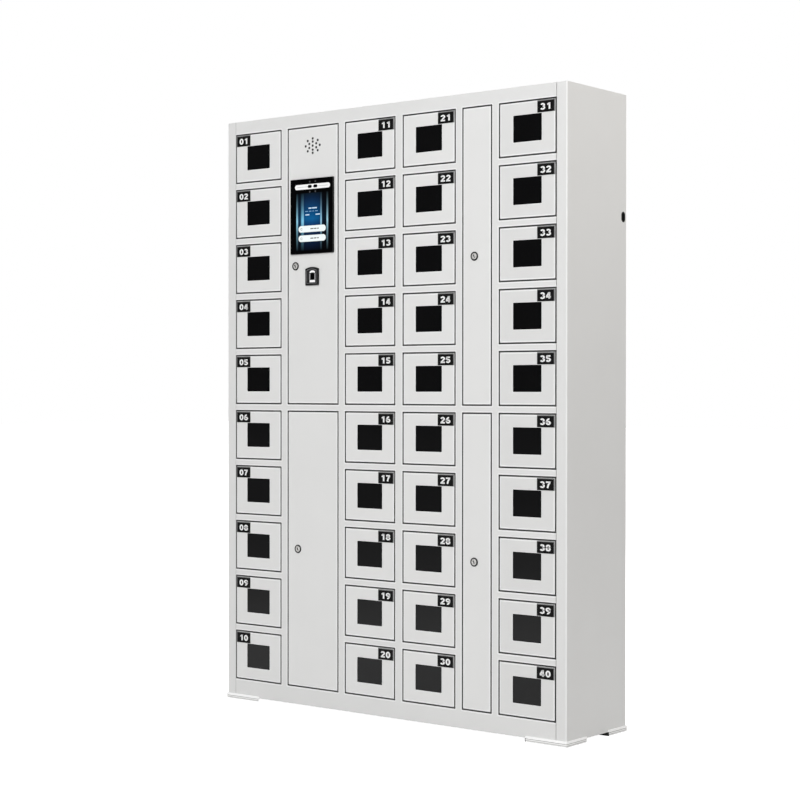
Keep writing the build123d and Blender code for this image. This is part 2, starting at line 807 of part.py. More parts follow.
control_place = Location((middle_x(CONTROL), front_y, cam_heights[0]))
terminal_pieces = (terminal_housing.part, terminal_front_glass.part, terminal_display.part)
export("control_terminal", [piece.moved(control_place) for piece in terminal_pieces])
reader_pieces = (reader_housing.part, reader_sensor.part)
export("fingerprint_reader", [piece.moved(control_place) for piece in reader_pieces])
export("speaker", [speaker.part.moved(control_place)])

# ---- Electronics: power supply and battery behind the power door, a lock board in each wiring bay 
supply_z = openings_bottom + supply_above_base
with BuildPart() as power_supply:
    with Locations((middle_x(CONTROL), back_panel_y, supply_z)):
        Box(*supply_size, align=(Align.CENTER, Align.MAX, Align.MIN))

with BuildPart() as battery:
    with Locations((middle_x(CONTROL), rear_wall_y, openings_bottom)):
        Box(*battery_size, align=(Align.CENTER, Align.MAX, Align.MIN))

board_width, board_thickness, board_height = board_size
connector_x = (board_width - board_connector[0]) / 2

with BuildPart() as lock_board:
    with Locations((0, -board_standoff, 0)):
        Box(*board_size, align=(Align.CENTER, Align.MAX, Align.CENTER))
    with Locations((0, -board_standoff - board_thickness, 0)):
        with GridLocations(2 * connector_x, 1, 2, 1):
            Box(*board_connector, align=(Align.CENTER, Align.MAX, Align.CENTER))
    with BuildSketch(Plane.XZ):
        with GridLocations(board_width - 2 * standoff_inset, board_height - 2 * standoff_inset, 2, 2):
            Circle(standoff_radius)
    extrude(amount=board_standoff)

lock_boards = [
    lock_board.part.moved(Location((middle_x(WIRING), back_panel_y, bottom + board_above_opening)))
    for bottom in service_bottoms
]
export("control_electronics", [power_supply.part, battery.part, *lock_boards])

# ---- Cable outlet: a rubber grommet in the right side panel --------------------------------------
with BuildPart() as cable_grommet:
    with BuildSketch(outlet_plane):
        SlotOverall(outlet_height, outlet_width, rotation=90)
    extrude(amount=-sheet)
    for face, direction in ((0, 1), (-sheet, -1)):
        with BuildSketch(outlet_plane.offset(face)):
            SlotOverall(outlet_height + 2 * grommet_flange, outlet_width + 2 * grommet_flange, rotation=90)
        extrude(amount=direction * grommet_flange_thickness)
    with BuildSketch(outlet_plane.offset(grommet_flange_thickness)):
        SlotOverall(outlet_height - 2 * grommet_wall, outlet_width - 2 * grommet_wall, rotation=90)
    extrude(amount=-sheet - 2 * grommet_flange_thickness, mode=Mode.SUBTRACT)
export("cable_grommet", [cable_grommet.part])
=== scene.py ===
"""Cell phone locker cabinet: its finishes and fine shapes, laid over the CAD frame.

Shapes are worked out in millimetres as (x, depth behind the front face, z) and moved to the
shared frame, in metres, when they are made into pieces.
"""

from itertools import accumulate
from math import cos, pi, radians, sin

import bmesh
import bpy
import numpy as np
from mathutils import Euler, Matrix, Vector
from mathutils.geometry import delaunay_2d_cdt


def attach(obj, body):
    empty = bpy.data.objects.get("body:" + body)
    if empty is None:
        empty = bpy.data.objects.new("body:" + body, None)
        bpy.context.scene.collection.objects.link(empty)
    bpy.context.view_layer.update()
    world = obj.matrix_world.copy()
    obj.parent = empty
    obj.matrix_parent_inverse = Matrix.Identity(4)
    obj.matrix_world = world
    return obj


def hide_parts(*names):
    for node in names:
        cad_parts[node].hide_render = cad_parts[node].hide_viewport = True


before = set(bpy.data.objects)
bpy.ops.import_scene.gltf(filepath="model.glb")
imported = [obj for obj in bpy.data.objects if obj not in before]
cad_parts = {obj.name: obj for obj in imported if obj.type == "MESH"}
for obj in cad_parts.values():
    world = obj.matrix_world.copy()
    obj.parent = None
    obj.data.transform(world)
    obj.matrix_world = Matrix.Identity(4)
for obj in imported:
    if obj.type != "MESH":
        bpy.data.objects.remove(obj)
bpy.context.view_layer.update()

MM = 0.001

# ---- Layout of the cabinet, in millimetres ---------------------------------------
SHEET = 1.2
BEND = 1.8
CORNER_BEND = 3.0
FRAME_DEPTH = 18.0
DOOR_GAP = 3.0
DOOR_FOLD = 15.0
BODY_DEPTH = 268.0
FRONT_Y = -133.0
BODY_BOTTOM = 9.5
BODY_TOP = 1573.5
OUTER_STILE = 30.0
REAR_FLANGE = 18.0
OPENING_WIDTHS = [166.8, 177.6, 166.8, 166.8, 89.6, 166.8]
STILE_WIDTHS = [22.6, 22.4, 24.0, 20.6, 20.8]
HALF_WIDTH = OUTER_STILE + (sum(OPENING_WIDTHS) + sum(STILE_WIDTHS)) / 2
OPENING_HEIGHT = 133.0
ROW_PITCH = 150.0
ROWS = 10
OPENINGS_BOTTOM = 56.0
SERVICE_HEIGHT = 5 * ROW_PITCH - 17.0
CONTROL, WIRING = 1, 4
PHONE_COLUMNS = [0, 2, 3, 5]

gaps = [w for pair in zip([OUTER_STILE, *STILE_WIDTHS], OPENING_WIDTHS) for w in pair]
edges = [-HALF_WIDTH + run for run in accumulate(gaps)]
LEFT_EDGES, RIGHT_EDGES = edges[0::2], edges[1::2]
MIDDLES = [(a + b) / 2 for a, b in zip(LEFT_EDGES, RIGHT_EDGES)]
ROW_BOTTOMS = [OPENINGS_BOTTOM + ROW_PITCH * (ROWS - 1 - row) for row in range(ROWS)]
SERVICE_BOTTOMS = [OPENINGS_BOTTOM + 5 * ROW_PITCH, OPENINGS_BOTTOM]
FOLD_EDGE = HALF_WIDTH - OUTER_STILE

WINDOW, WINDOW_CORNER, WINDOW_RIM = (83.0, 65.0), 1.5, 2.0
PANE, PANE_OVERLAP = 2.0, 6.0
PLATE = (50.0, 29.0)
PLATE_INSET = 1.0
TERMINAL = (149.0, 198.0)
OUTLET_FROM_BACK, OUTLET_BELOW_TOP, OUTLET = 16.0, 302.0, (13.0, 22.0)


# ---- Shapes: loops, and surfaces carried along them ------------------------------
def rounded(width, height, radius, middle=(0.0, 0.0), steps=3):
    """Rounded rectangle: each corner's centre plus radius times (cos, sin) over its quarter turn."""
    radius = max(radius, 0.02)
    turn = np.linspace(0, pi / 2, steps + 1) + np.arange(4)[:, None] * pi / 2
    side_x = np.array([1, -1, -1, 1])[:, None] * (width / 2 - radius)
    side_z = np.array([1, 1, -1, -1])[:, None] * (height / 2 - radius)
    x, z = side_x + radius * np.cos(turn), side_z + radius * np.sin(turn)
    return np.stack([x.ravel() + middle[0], z.ravel() + middle[1]], -1)


def shrinking(width, height, radius, middle=(0.0, 0.0), steps=3):
    """Function of an inset: a rounded rectangle moved inwards by it, whose corners shrink with it."""
    return lambda inset: rounded(width - 2 * inset, height - 2 * inset, radius - inset, middle, steps)


def inset_rectangle(width, height, radius, middle=(0.0, 0.0)):
    """Function of an inset: a rounded rectangle moved inwards by it, whose corners keep their radius."""
    return lambda inset: rounded(width - 2 * inset, height - 2 * inset, radius, middle)


def round_loop(radius, middle=(0.0, 0.0), count=32):
    """Circle: radius times (cos, sin) of evenly spaced angles."""
    turn = np.arange(count) * 2 * pi / count
    return np.stack([radius * np.cos(turn) + middle[0], radius * np.sin(turn) + middle[1]], -1)


def at_depth(loop, depth):
    """A flat loop of (x, z) as points (x, depth, z)."""
    return np.stack([loop[:, 0], np.full(len(loop), float(depth)), loop[:, 1]], -1)


def carried(outline, profile):
    """outline(inset) at the depth of each (inset, depth) step."""
    return [at_depth(outline(inset), depth) for inset, depth in profile]


def turned(profile, middle=(0.0, 0.0), count=48):
    """A circle at each (radius, depth) step, about middle."""
    return [at_depth(round_loop(radius, middle, count), depth) for radius, depth in profile]


BEND_TURNS = np.linspace(0, pi / 2, 6)
# A fold's rim values, which paint light on the coat: none deep in the flank, -1 (painted shade) in the gap,
# rising to 1 (painted highlight) on the face, and none 3 mm on.
GAP_STEPS = [(0.0, 7.0), (0.0, 4.5)]
FOLD_PAINTED_LIGHT = [0.0, 0.0, -1.0, *-np.cos(2 * BEND_TURNS), 0.0]


def bend_profile(start, radius):
    """Quarter circle of a fold, as (inset from the sheet's side, depth): from the flank to the face."""
    return [(start + radius * (1 - cos(a)), start + radius * (1 - sin(a))) for a in BEND_TURNS]


def inside(loop, points):
    """Whether each point lies in a convex loop: left of all of its sides, taken anticlockwise."""
    sides = np.roll(loop, -1, axis=0) - loop
    away = points[:, None, :] - loop[None, :, :]
    return (sides[:, 0] * away[:, :, 1] - sides[:, 1] * away[:, :, 0] > 0).all(1)


def between(outline, holes):
    """Points and triangles of the flat area inside a convex outline and outside its convex holes."""
    loops = [outline, *holes]
    starts = np.cumsum([0, *map(len, loops)])
    sides = []
    for start, loop in zip(starts, loops):
        sides += [(start + i, start + (i + 1) % len(loop)) for i in range(len(loop))]
    corners = [Vector(point) for point in np.concatenate(loops)]
    points, _, triangles, *_ = delaunay_2d_cdt(corners, sides, [], 0, 1e-6)
    points, triangles = np.array([tuple(point) for point in points]), np.array(triangles)
    middles = points[triangles].mean(1)
    kept = inside(outline, middles)
    for hole in holes:
        kept &= ~inside(hole, middles)
    return points, triangles[kept].tolist()


class Surface:
    """Points and faces of one piece, gathered part by part; each face keeps its finish's number."""

    def __init__(self):
        self.points, self.faces, self.finishes, self.rims, self.count = [], [], [], [], 0

    def add(self, points, faces, finish=0, rim=0.0):
        """Adds points and the faces between them; rim is the light painted at each point near a folded edge,
        from -1, painted shade, to 1, a painted highlight.
        """
        self.points.append(np.asarray(points, float).reshape(-1, 3))
        self.rims.append(np.broadcast_to(np.asarray(rim, float), (len(self.points[-1]),)))
        self.faces += [[int(i) + self.count for i in face] for face in faces]
        self.finishes += [finish] * len(faces)
        self.count += len(self.points[-1])
        return self

    def loft(self, rows, finish=0, closed=False, around=True, rims=0.0):
        """Quads between each row of points and the next; closed joins the rows, around joins their ends.
        rims has one value for each row."""
        rows = np.asarray(rows, float)
        n, m = rows.shape[:2]
        i, j = np.meshgrid(np.arange(n - (not closed)), np.arange(m - (not around)), indexing="ij")
        below, right = (i + 1) % n, (j + 1) % m
        quads = np.stack([i * m + j, i * m + right, below * m + right, below * m + j], -1)
        rims = np.repeat(np.broadcast_to(np.asarray(rims, float), (n,)), m)
        return self.add(rows, quads.reshape(-1, 4).tolist(), finish, rims)

    def fill(self, outline, depth, holes=(), finish=0):
        """Flat face at a depth, between its outline and its holes."""
        points, triangles = between(outline, holes)
        return self.add(at_depth(points, depth), triangles, finish)

    def cap(self, finish, *rows):
        """One face over each closed row of points."""
        for row in rows:
            self.add(row, [list(range(len(row)))], finish)
        return self

    def block(self, outline, profile, finish=0):
        """Solid whose outline(inset) is carried through (inset, depth) steps and capped at both ends."""
        rows = carried(outline, profile)
        return self.loft(rows, finish).cap(finish, rows[0], rows[-1])

    def lathe(self, profile, middle=(0.0, 0.0), count=48, finish=0, upright=False):
        """Solid of revolution through middle: (radius, depth) steps turned round, or (radius, z) upright."""
        rows = turned([(max(r, 0.01), depth) for r, depth in profile], middle, count)
        if upright:
            rows = [row[:, [0, 2, 1]] for row in rows]
        return self.loft(rows, finish).cap(finish, rows[0], rows[-1])


def to_scene(points):
    """(x, depth, z) in millimetres to the shared frame in metres."""
    points = np.array(points, float).reshape(-1, 3)
    points[:, 1] += FRONT_Y
    return points * MM


def clean_mesh(name, points, faces, finishes, materials, skin=None, rims=None):
    """Mesh with doubles merged, normals outwards (a skin's first face looks along skin), edges sharp
    past 35 degrees."""
    mesh = bpy.data.meshes.new(name)
    mesh.from_pydata(points.tolist(), [], faces)
    for finish in materials:
        mesh.materials.append(finish)
    mesh.polygons.foreach_set("material_index", finishes)
    if rims is not None:
        mesh.attributes.new("rim", "FLOAT", "POINT").data.foreach_set("value", rims)
    shape = bmesh.new()
    shape.from_mesh(mesh)
    bmesh.ops.remove_doubles(shape, verts=shape.verts, dist=2e-6)
    bmesh.ops.recalc_face_normals(shape, faces=shape.faces)
    shape.faces.ensure_lookup_table()
    if skin and shape.faces[0].normal.dot(skin) < 0:
        bmesh.ops.reverse_faces(shape, faces=shape.faces)
    shape.to_mesh(mesh)
    shape.free()
    mesh.polygons.foreach_set("use_smooth", np.ones(len(mesh.polygons), bool))
    mesh.set_sharp_from_angle(angle=radians(35))
    return mesh


def make_piece(name, mesh, body, slot=None, stands_for=(), shift=(0.0, 0.0, 0.0), thickness=None):
    """Object of a mesh, moved by shift in its vertices, that rides on a body; thickness makes a skin
    a sheet."""
    mesh = mesh.copy()
    mesh.name = name
    mesh.transform(Matrix.Translation(Vector(shift) * MM))
    piece = bpy.data.objects.new(name, mesh)
    bpy.context.scene.collection.objects.link(piece)
    if thickness:
        sheet = piece.modifiers.new("sheet thickness", "SOLIDIFY")
        sheet.thickness, sheet.use_even_offset, sheet.use_quality_normals = thickness * MM, True, True
    weights = piece.modifiers.new("flat faces stay flat", "WEIGHTED_NORMAL")
    weights.keep_sharp = True
    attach(piece, body)
    if stands_for:
        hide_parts(*stands_for)
    return piece


def surface_mesh(name, surface, *materials, skin=None):
    """The mesh of a Surface; a skin's first face looks along the direction given."""
    points = to_scene(np.concatenate(surface.points))
    rims = np.concatenate(surface.rims)
    rims = rims if rims.any() else None
    return clean_mesh(name, points, surface.faces, surface.finishes, materials, skin, rims)


def surface_piece(name, surface, finishes, body="cabinet", skin=None, **more):
    """Piece made straight from a Surface in its finishes."""
    return make_piece(name, surface_mesh(name, surface, *finishes, skin=skin), body, **more)


def cad_solids(node):
    """The closed solids of a CAD node, as merged copies: (points, faces) with the largest first."""
    shape = bmesh.new()
    shape.from_mesh(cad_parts[node].data)
    bmesh.ops.remove_doubles(shape, verts=shape.verts, dist=1e-6)
    shape.verts.index_update()
    points = np.array([v.co for v in shape.verts])
    faces = np.array([[v.index for v in f.verts] for f in shape.faces])
    shape.free()
    group = np.arange(len(points))
    while True:
        lowest = group[faces].min(1)
        lower = group.copy()
        np.minimum.at(lower, faces.ravel(), np.repeat(lowest, faces.shape[1]))
        if (lower == group).all():
            break
        group = lower
    solids = []
    for number in np.unique(group):
        members = np.flatnonzero(group == number)
        own = faces[np.isin(faces[:, 0], members)]
        renumber = np.zeros(len(points), int)
        renumber[members] = np.arange(len(members))
        solids.append((points[members], renumber[own].tolist()))
    return sorted(solids, key=lambda s: -np.prod(np.ptp(s[0], axis=0)))


def solids_mesh(name, solids, *materials):
    """One mesh of several solids, all in the first material."""
    points, faces, count = [], [], 0
    for own_points, own_faces in solids:
        points.append(own_points)
        faces += [[i + count for i in face] for face in own_faces]
        count += len(own_points)
    return clean_mesh(name, np.concatenate(points), faces, [0] * len(faces), materials)


# ---- Finishes --------------------------------------------------------------------
def linear(code):
    """sRGB hex colour as linear red, green, blue and alpha."""
    parts = np.array([int(code[i : i + 2], 16) / 255 for i in (1, 3, 5)])
    parts = np.where(parts <= 0.04045, parts / 12.92, ((parts + 0.055) / 1.055) ** 2.4)
    return (*parts, 1.0)


def add_node(material, kind, inputs=(), **settings):
    """Adds a node of a kind, with its settings, and sets or links its inputs."""
    made = material.node_tree.nodes.new(kind)
    for key, value in settings.items():
        setattr(made, key, value)
    for key, value in dict(inputs).items():
        if isinstance(value, bpy.types.NodeSocket):
            material.node_tree.links.new(value, made.inputs[key])
        else:
            made.inputs[key].default_value = value
    return made


def new_finish(name, **sockets):
    """Material with its shader's sockets set: the finish, its shader and Object coordinates."""
    finish = bpy.data.materials.new(name)
    finish.use_nodes = True
    shader = finish.node_tree.nodes["Principled BSDF"]
    for key, value in sockets.items():
        shader.inputs[key.replace("_", " ")].default_value = value
    place = add_node(finish, "ShaderNodeTexCoord").outputs["Object"]
    return finish, shader, place


def link(finish, output, shader, socket):
    """Links a node's output to a socket of the shader."""
    finish.node_tree.links.new(output, shader.inputs[socket])


def noise(finish, place, size_mm, detail):
    """Noise whose features are about a size in millimetres."""
    waves = {"Vector": place, "Scale": 1 / (size_mm * MM), "Detail": detail}
    return add_node(finish, "ShaderNodeTexNoise", waves).outputs["Fac"]


def maths(finish, operation, first, second):
    """Output of a maths node."""
    return add_node(finish, "ShaderNodeMath", {0: first, 1: second}, operation=operation).outputs[0]


def mapped(finish, value, span, levels=(0.0, 1.0)):
    """Output of a node that maps a span of values to levels, and holds them at its ends."""
    ends = dict(zip(("From Min", "From Max", "To Min", "To Max"), (*span, *levels)))
    return add_node(finish, "ShaderNodeMapRange", {"Value": value, **ends}).outputs["Result"]


def mix_colours(finish, factor, first, second, blend="MIX"):
    """Colour output of a mix from a first colour to a second, in a blend mode."""
    # 6 and 7 are a mix node's two colours, and 2 its colour output.
    sockets = {"Factor": factor, 6: first, 7: second}
    return add_node(finish, "ShaderNodeMix", sockets, data_type="RGBA", blend_type=blend).outputs[2]


def grained(
    name, light, dark, grain_mm, bump_mm, cloud_mm=140.0, roughness=(0.4, 0.5), edge=None, specular=None,
    **sockets,
):
    """A finish whose colour drifts between two tones in soft clouds, over a fine raised grain; edge has
    two painted tones, painted shade for a gap and a painted highlight for a folded edge, at the mesh's rim
    values of -1 and 1."""
    if specular is not None:
        sockets["Specular_IOR_Level"] = specular
    finish, shader, place = new_finish(name, **sockets)
    cloud = noise(finish, place, cloud_mm, 2.0)
    grain = noise(finish, place, grain_mm, 3.0)
    tone = mix_colours(finish, cloud, linear(dark), linear(light))
    if edge:
        # rim -1 lays painted shade, rim 1 a painted highlight.
        rim = add_node(finish, "ShaderNodeAttribute", attribute_name="rim").outputs["Fac"]
        painted_gap_shade = maths(finish, "MULTIPLY", rim, -1.0)
        for factor, code in ((painted_gap_shade, edge[0]), (rim, edge[1])):
            tone = mix_colours(finish, factor, tone, linear(code))
    link(finish, tone, shader, "Base Color")
    link(finish, mapped(finish, grain, (0.0, 1.0), roughness), shader, "Roughness")
    relief = {"Height": grain, "Strength": 1.0, "Distance": bump_mm * MM}
    link(finish, add_node(finish, "ShaderNodeBump", relief).outputs["Normal"], shader, "Normal")
    return finish


# Polyester powder coat baked on sheet steel: satin, with an orange peel of 2.5 mm waves. A near-white
# tone is painted along the folds as a highlight, and a dark grey is painted into the gaps round the
# doors as shade. The doors of the rightmost column are slightly darker than the others.
PEEL = {"grain_mm": 2.5, "bump_mm": 0.012, "roughness": (0.42, 0.5)}
# The first edge tone is painted shade in the gaps, the second a painted highlight on the folds.
GAP_PAINTED_SHADE = "#303030"
frame_coat = grained("powder_coat_frame", "#E6E6E5", "#E2E2E1", edge=(GAP_PAINTED_SHADE, "#F8F8F8"), **PEEL)
door_coat = grained("powder_coat_doors", "#E9E9E8", "#E5E5E4", edge=(GAP_PAINTED_SHADE, "#FBFBFB"), **PEEL)
grey_coat = grained("powder_coat_outer_doors", "#E3E3E2", "#DFDFDE", edge=(GAP_PAINTED_SHADE, "#FBFBFB"), **PEEL)
# Smoke-tinted acrylic, cast and flame polished: almost black, with a weak mirror on top.
smoked_acrylic = grained("smoked_acrylic", "#0C0C0D", "#060607", 60.0, 0.0, 90.0, (0.06, 0.12), specular=0.22)
# Anodised aluminium label blank: a mid grey rim round the printed field.
label_rim = grained("anodised_aluminium_label", "#7A7A7A", "#707070", 0.8, 0.002, 20.0, (0.45, 0.55))
# Screen-printed enamel ink: black field and white figures, slightly raised.
black_ink = grained("black_screen_print", "#080808", "#050505", 1.2, 0.003, 20.0, (0.55, 0.65), specular=0.12)
white_ink = grained("white_screen_print", "#F6F6F6", "#EFEFEF", 1.2, 0.003, 20.0, (0.4, 0.5))
# Zinc-plated steel: cool bright metal with faint clouds of the passivation.
zinc_steel = grained("zinc_plated_steel", "#C3C6C9", "#AEB1B5", 1.5, 0.004, 12.0, (0.28, 0.42), Metallic=1.0)
# Nickel plate on the cam locks: the flange is painted near black and glossy, as painted shade and dark
# reflection round the barrel; satin and pale on the plug and its seat.
nickel_flange_painted_shade = grained("nickel_plate_painted_shade", "#2E2E30", "#202022", 3.0, 0.001, 8.0, (0.3, 0.4), Metallic=0.8)
satin_nickel = grained("satin_nickel_plate", "#E6E5E2", "#D6D5D2", 1.0, 0.002, 8.0, (0.45, 0.55), Metallic=0.6)
# Polypropylene feet, injection moulded, with a soft eggshell grain. A faint glow is painted into the plastic
# so the feet look brighter than the paint even on their shaded side; their grooves are painted grey as shade
# and their lip white as a highlight.
white_plastic = grained(
    "moulded_white_polypropylene", "#F4F4F3", "#EEEEED", 1.0, 0.01, 30.0, (0.42, 0.55), ("#A4A4A2", "#FFFFFF"),
    Emission_Color=linear("#FFFFFF"), Emission_Strength=0.10,
)
# Moulded ABS with a fine spark-eroded grain.
black_abs = grained("moulded_black_abs", "#101011", "#0A0A0B", 0.6, 0.006, 30.0, (0.35, 0.5), specular=0.3)
# Grey strips beside the reader's window: painted shade on the sides of its plate.
reader_side_shade = grained("reader_sides_painted_shade", "#9A9A9C", "#8A8A8C", 0.6, 0.004, 30.0, (0.35, 0.5))
grey_abs = grained("moulded_grey_abs", "#6A6A6C", "#5E5E60", 0.6, 0.004, 30.0, (0.35, 0.5))
# EPDM rubber: black, dull.
rubber = grained("epdm_rubber", "#141414", "#0D0D0D", 0.8, 0.01, 20.0, (0.6, 0.75), specular=0.3)
# Soft silicone membrane, matt as soot.
membrane_black = grained("silicone_membrane", "#040404", "#020202", 0.8, 0.01, 20.0, (0.8, 0.9), specular=0.05)
# Tempered glass with a black print on its back: deep black and smooth.
black_glass = grained("black_printed_glass", "#040405", "#020203", 60.0, 0.0, 90.0, (0.04, 0.08), specular=0.1)
lens_glass = grained("coated_lens_glass", "#050510", "#020206", 6.0, 0.0, 6.0, (0.02, 0.06), specular=0.5)
aluminium = grained("mill_finish_aluminium", "#BFC1C3", "#AEB0B3", 2.0, 0.006, 40.0, (0.35, 0.5), Metallic=1.0)
# Solder resist on glass-epoxy board.
board_green = grained("green_solder_resist", "#1E5B36", "#174B2B", 3.0, 0.02, 10.0, (0.3, 0.45))


def glowing(name, code, strength, diffuse="#F4F4F4"):
    """Backlit diffuser of opal plastic: an even glow through a smooth cover."""
    finish, shader, place = new_finish(name, Base_Color=linear(diffuse), Roughness=0.25)
    shader.inputs["Emission Color"].default_value = linear(code)
    glow = mapped(finish, noise(finish, place, 25.0, 1.0), (0.0, 1.0), (0.94 * strength, 1.06 * strength))
    link(finish, glow, shader, "Emission Strength")
    return finish


led_white = glowing("opal_led_cover", "#FFFFFF", 0.9, "#202020")
led_joint = glowing("light_bar_joint", "#D8DADC", 0.75, "#202020")
# The infrared windows glow a dim grey: painted light, as infrared LEDs give no visible light.
led_dim = glowing("infrared_led_window", "#8A8A90", 0.25, "#101012")
ui_white = glowing("screen_figures", "#CFE8FF", 0.95, "#050505")
ui_pale = glowing("screen_small_figures", "#7FB0DA", 0.8, "#050505")
ui_button = glowing("screen_buttons", "#F6FFFF", 0.98, "#101010")
ui_grey = glowing("screen_button_figures", "#5C5F5A", 0.9, "#050505")


def screen_finish():
    """Lit display: navy at its rim, blue towards its middle, with upright beams of pale cyan."""
    finish, shader, place = new_finish("lit_display", Base_Color=linear("#020203"), Roughness=0.08)
    shader.inputs["Specular IOR Level"].default_value = 0.2
    parts = add_node(finish, "ShaderNodeSeparateXYZ", {0: place})
    middle_x = MIDDLES[CONTROL] * MM
    drift = maths(finish, "MULTIPLY", noise(finish, place, 22.0, 2.0), 1.2 * MM)
    moved = maths(finish, "ADD", parts.outputs["X"], drift)
    # The screen's left and right edges from the column's middle, and its lower and upper edges.
    across = mapped(finish, moved, (middle_x - 53.5 * MM, middle_x + 60 * MM))
    up = mapped(finish, parts.outputs["Z"], (1210.5 * MM, 1362.5 * MM))

    def ramp(factor, stops):
        made = add_node(finish, "ShaderNodeValToRGB", {"Fac": factor})
        elements = made.color_ramp.elements
        for position, code in stops[2:]:
            elements.new(position)
        for element, (position, code) in zip(elements, sorted(stops)):
            element.position, element.color = position, linear(code)
        return made.outputs["Color"]

    field = ramp(
        up,
        [
            (0.0, "#01030A"), (0.1, "#06162E"), (0.33, "#0F2A4A"), (0.47, "#0B4072"), (0.56, "#0E5E96"),
            (0.66, "#074A7C"), (0.84, "#0E3258"), (0.92, "#072240"), (1.0, "#081826"),
        ],
    )
    beams = ramp(
        across,
        [
            (0.0, "#305868"), (0.02, "#A0DCF0"), (0.05, "#88C4E0"), (0.07, "#0C2A3C"), (0.14, "#04121E"),
            (0.17, "#70B4D0"), (0.225, "#8CCCE0"), (0.25, "#021020"), (0.30, "#000000"), (0.74, "#000000"),
            (0.755, "#84B8D0"), (0.785, "#9CCCE0"), (0.80, "#04101A"), (0.93, "#000408"), (0.945, "#98CCDE"),
            (0.975, "#A4D4E4"), (0.995, "#000000"),
        ],
    )
    height = ramp(
        up,
        [
            (0.0, "#000000"), (0.09, "#505050"), (0.25, "#8C8C8C"), (0.36, "#B8B8B8"), (0.52, "#FFFFFF"),
            (0.66, "#C4C4C4"), (0.79, "#888888"), (0.9, "#585858"), (1.0, "#202020"),
        ],
    )
    shade = ramp(
        across,
        [
            (0.0, "#303030"), (0.09, "#585858"), (0.16, "#909090"), (0.3, "#F0F0F0"), (0.5, "#FFFFFF"),
            (0.7, "#E0E0E0"), (0.82, "#404040"), (0.92, "#383838"), (1.0, "#101010"),
        ],
    )
    lit = mix_colours(finish, 1.0, beams, height, "MULTIPLY")
    deep = mix_colours(finish, 1.0, field, shade, "MULTIPLY")
    link(finish, mix_colours(finish, 1.0, lit, deep, "ADD"), shader, "Emission Color")
    shader.inputs["Emission Strength"].default_value = 1.0
    return finish


screen_glow = screen_finish()


# ---- Camera, lights, floor -------------------------------------------------------
camera_data = bpy.data.cameras.new("camera")
camera_data.sensor_width = 36.0
camera_data.lens = 80.44
camera = bpy.data.objects.new("camera", camera_data)
camera.location = (2.8674, -3.6761, 0.8477)
camera.rotation_euler = Euler((radians(89.638), radians(-0.036), radians(38.492)))
bpy.context.scene.collection.objects.link(camera)
bpy.context.scene.camera = camera
bpy.context.scene.view_settings.view_transform = "Standard"


def softbox(name, place, target, size, power, colour=(1.0, 1.0, 1.0)):
    """Square area lamp at a place, facing a target."""
    data = bpy.data.lights.new(name, "AREA")
    data.shape, data.size, data.energy, data.color = "SQUARE", size, power, colour
    lamp = bpy.data.objects.new(name, data)
    lamp.location = place
    lamp.rotation_euler = (Vector(target) - Vector(place)).to_track_quat("-Z", "Y").to_euler()
    bpy.context.scene.collection.objects.link(lamp)


softbox("key_softbox", (2.4, -3.4, 3.4), (0, 0, 0.9), 1.8, 72)
softbox("fill_softbox", (-0.9, -6.2, 2.6), (0, 0, 0.8), 2.2, 118)
softbox("side_softbox", (2.2, 0.3, 2.6), (0.55, 0, 1.0), 0.9, 14, (1.0, 0.95, 0.88))
softbox("rear_softbox", (-1.5, 4.2, 3.0), (0, 0, 0.85), 2.4, 80)

studio = bpy.data.worlds.new("studio")
studio.use_nodes = True
bpy.context.scene.world = studio
background = studio.node_tree.nodes["Background"]
rays = add_node(studio, "ShaderNodeLightPath")
direction = add_node(studio, "ShaderNodeTexCoord").outputs["Generated"]
ahead = add_node(studio, "ShaderNodeSeparateXYZ", {0: direction}).outputs["Y"]
# The white backdrop stands behind the cabinet; towards the user the room is dim.
backdrop = mapped(studio, ahead, (-0.35, 0.05), (0.10, 1.0))
mirrored = maths(studio, "MAXIMUM", rays.outputs["Is Glossy Ray"], rays.outputs["Is Transmission Ray"])
# 2 and 3 are a mix node's two numbers.
lit_room = {"Factor": mirrored, 2: 0.38, 3: backdrop}
ambient = add_node(studio, "ShaderNodeMix", lit_room, data_type="FLOAT").outputs[0]
to_camera = {"Factor": rays.outputs["Is Camera Ray"], 2: ambient, 3: 1.0}
seen = add_node(studio, "ShaderNodeMix", to_camera, data_type="FLOAT")
background.inputs["Color"].default_value = (1, 1, 1, 1)
studio.node_tree.links.new(seen.outputs[0], background.inputs["Strength"])

# Matt pale floor: its own glow towards the camera lifts it to white, and the shadow stays.
floor_mesh = bpy.data.meshes.new("floor")
floor_mesh.from_pydata([(-30, -30, 0), (30, -30, 0), (30, 30, 0), (-30, 30, 0)], [], [(0, 1, 2, 3)])
floor = bpy.data.objects.new("floor", floor_mesh)
bpy.context.scene.collection.objects.link(floor)
floor_paint, floor_shader, floor_place = new_finish("pale_studio_floor", Roughness=0.9, Specular_IOR_Level=0.0)
floor_shader.inputs["Base Color"].default_value = linear("#D2D2D2")
floor_rays = add_node(floor_paint, "ShaderNodeLightPath")
distance = add_node(floor_paint, "ShaderNodeVectorMath", {0: floor_place}, operation="LENGTH").outputs["Value"]
# In a mirror the floor glows round the cabinet, a painted pool of light that dims towards the dark room.
pool = mapped(floor_paint, distance, (1.5, 4.0), (0.8, 0.0))
mirrored_pool = maths(floor_paint, "MULTIPLY", floor_rays.outputs["Is Glossy Ray"], pool)
lift = maths(floor_paint, "MAXIMUM", floor_rays.outputs["Is Camera Ray"], mirrored_pool)
floor_shader.inputs["Emission Color"].default_value = (1, 1, 1, 1)
link(floor_paint, lift, floor_shader, "Emission Strength")
floor_mesh.materials.append(floor_paint)


# ---- Front frame: one welded face whose openings are folded back -----------------
SEAM = 0.35
RIM = 3.0
FRAME_EDGE = FOLD_EDGE - SEAM
FRONT = Vector((0, -1, 0))


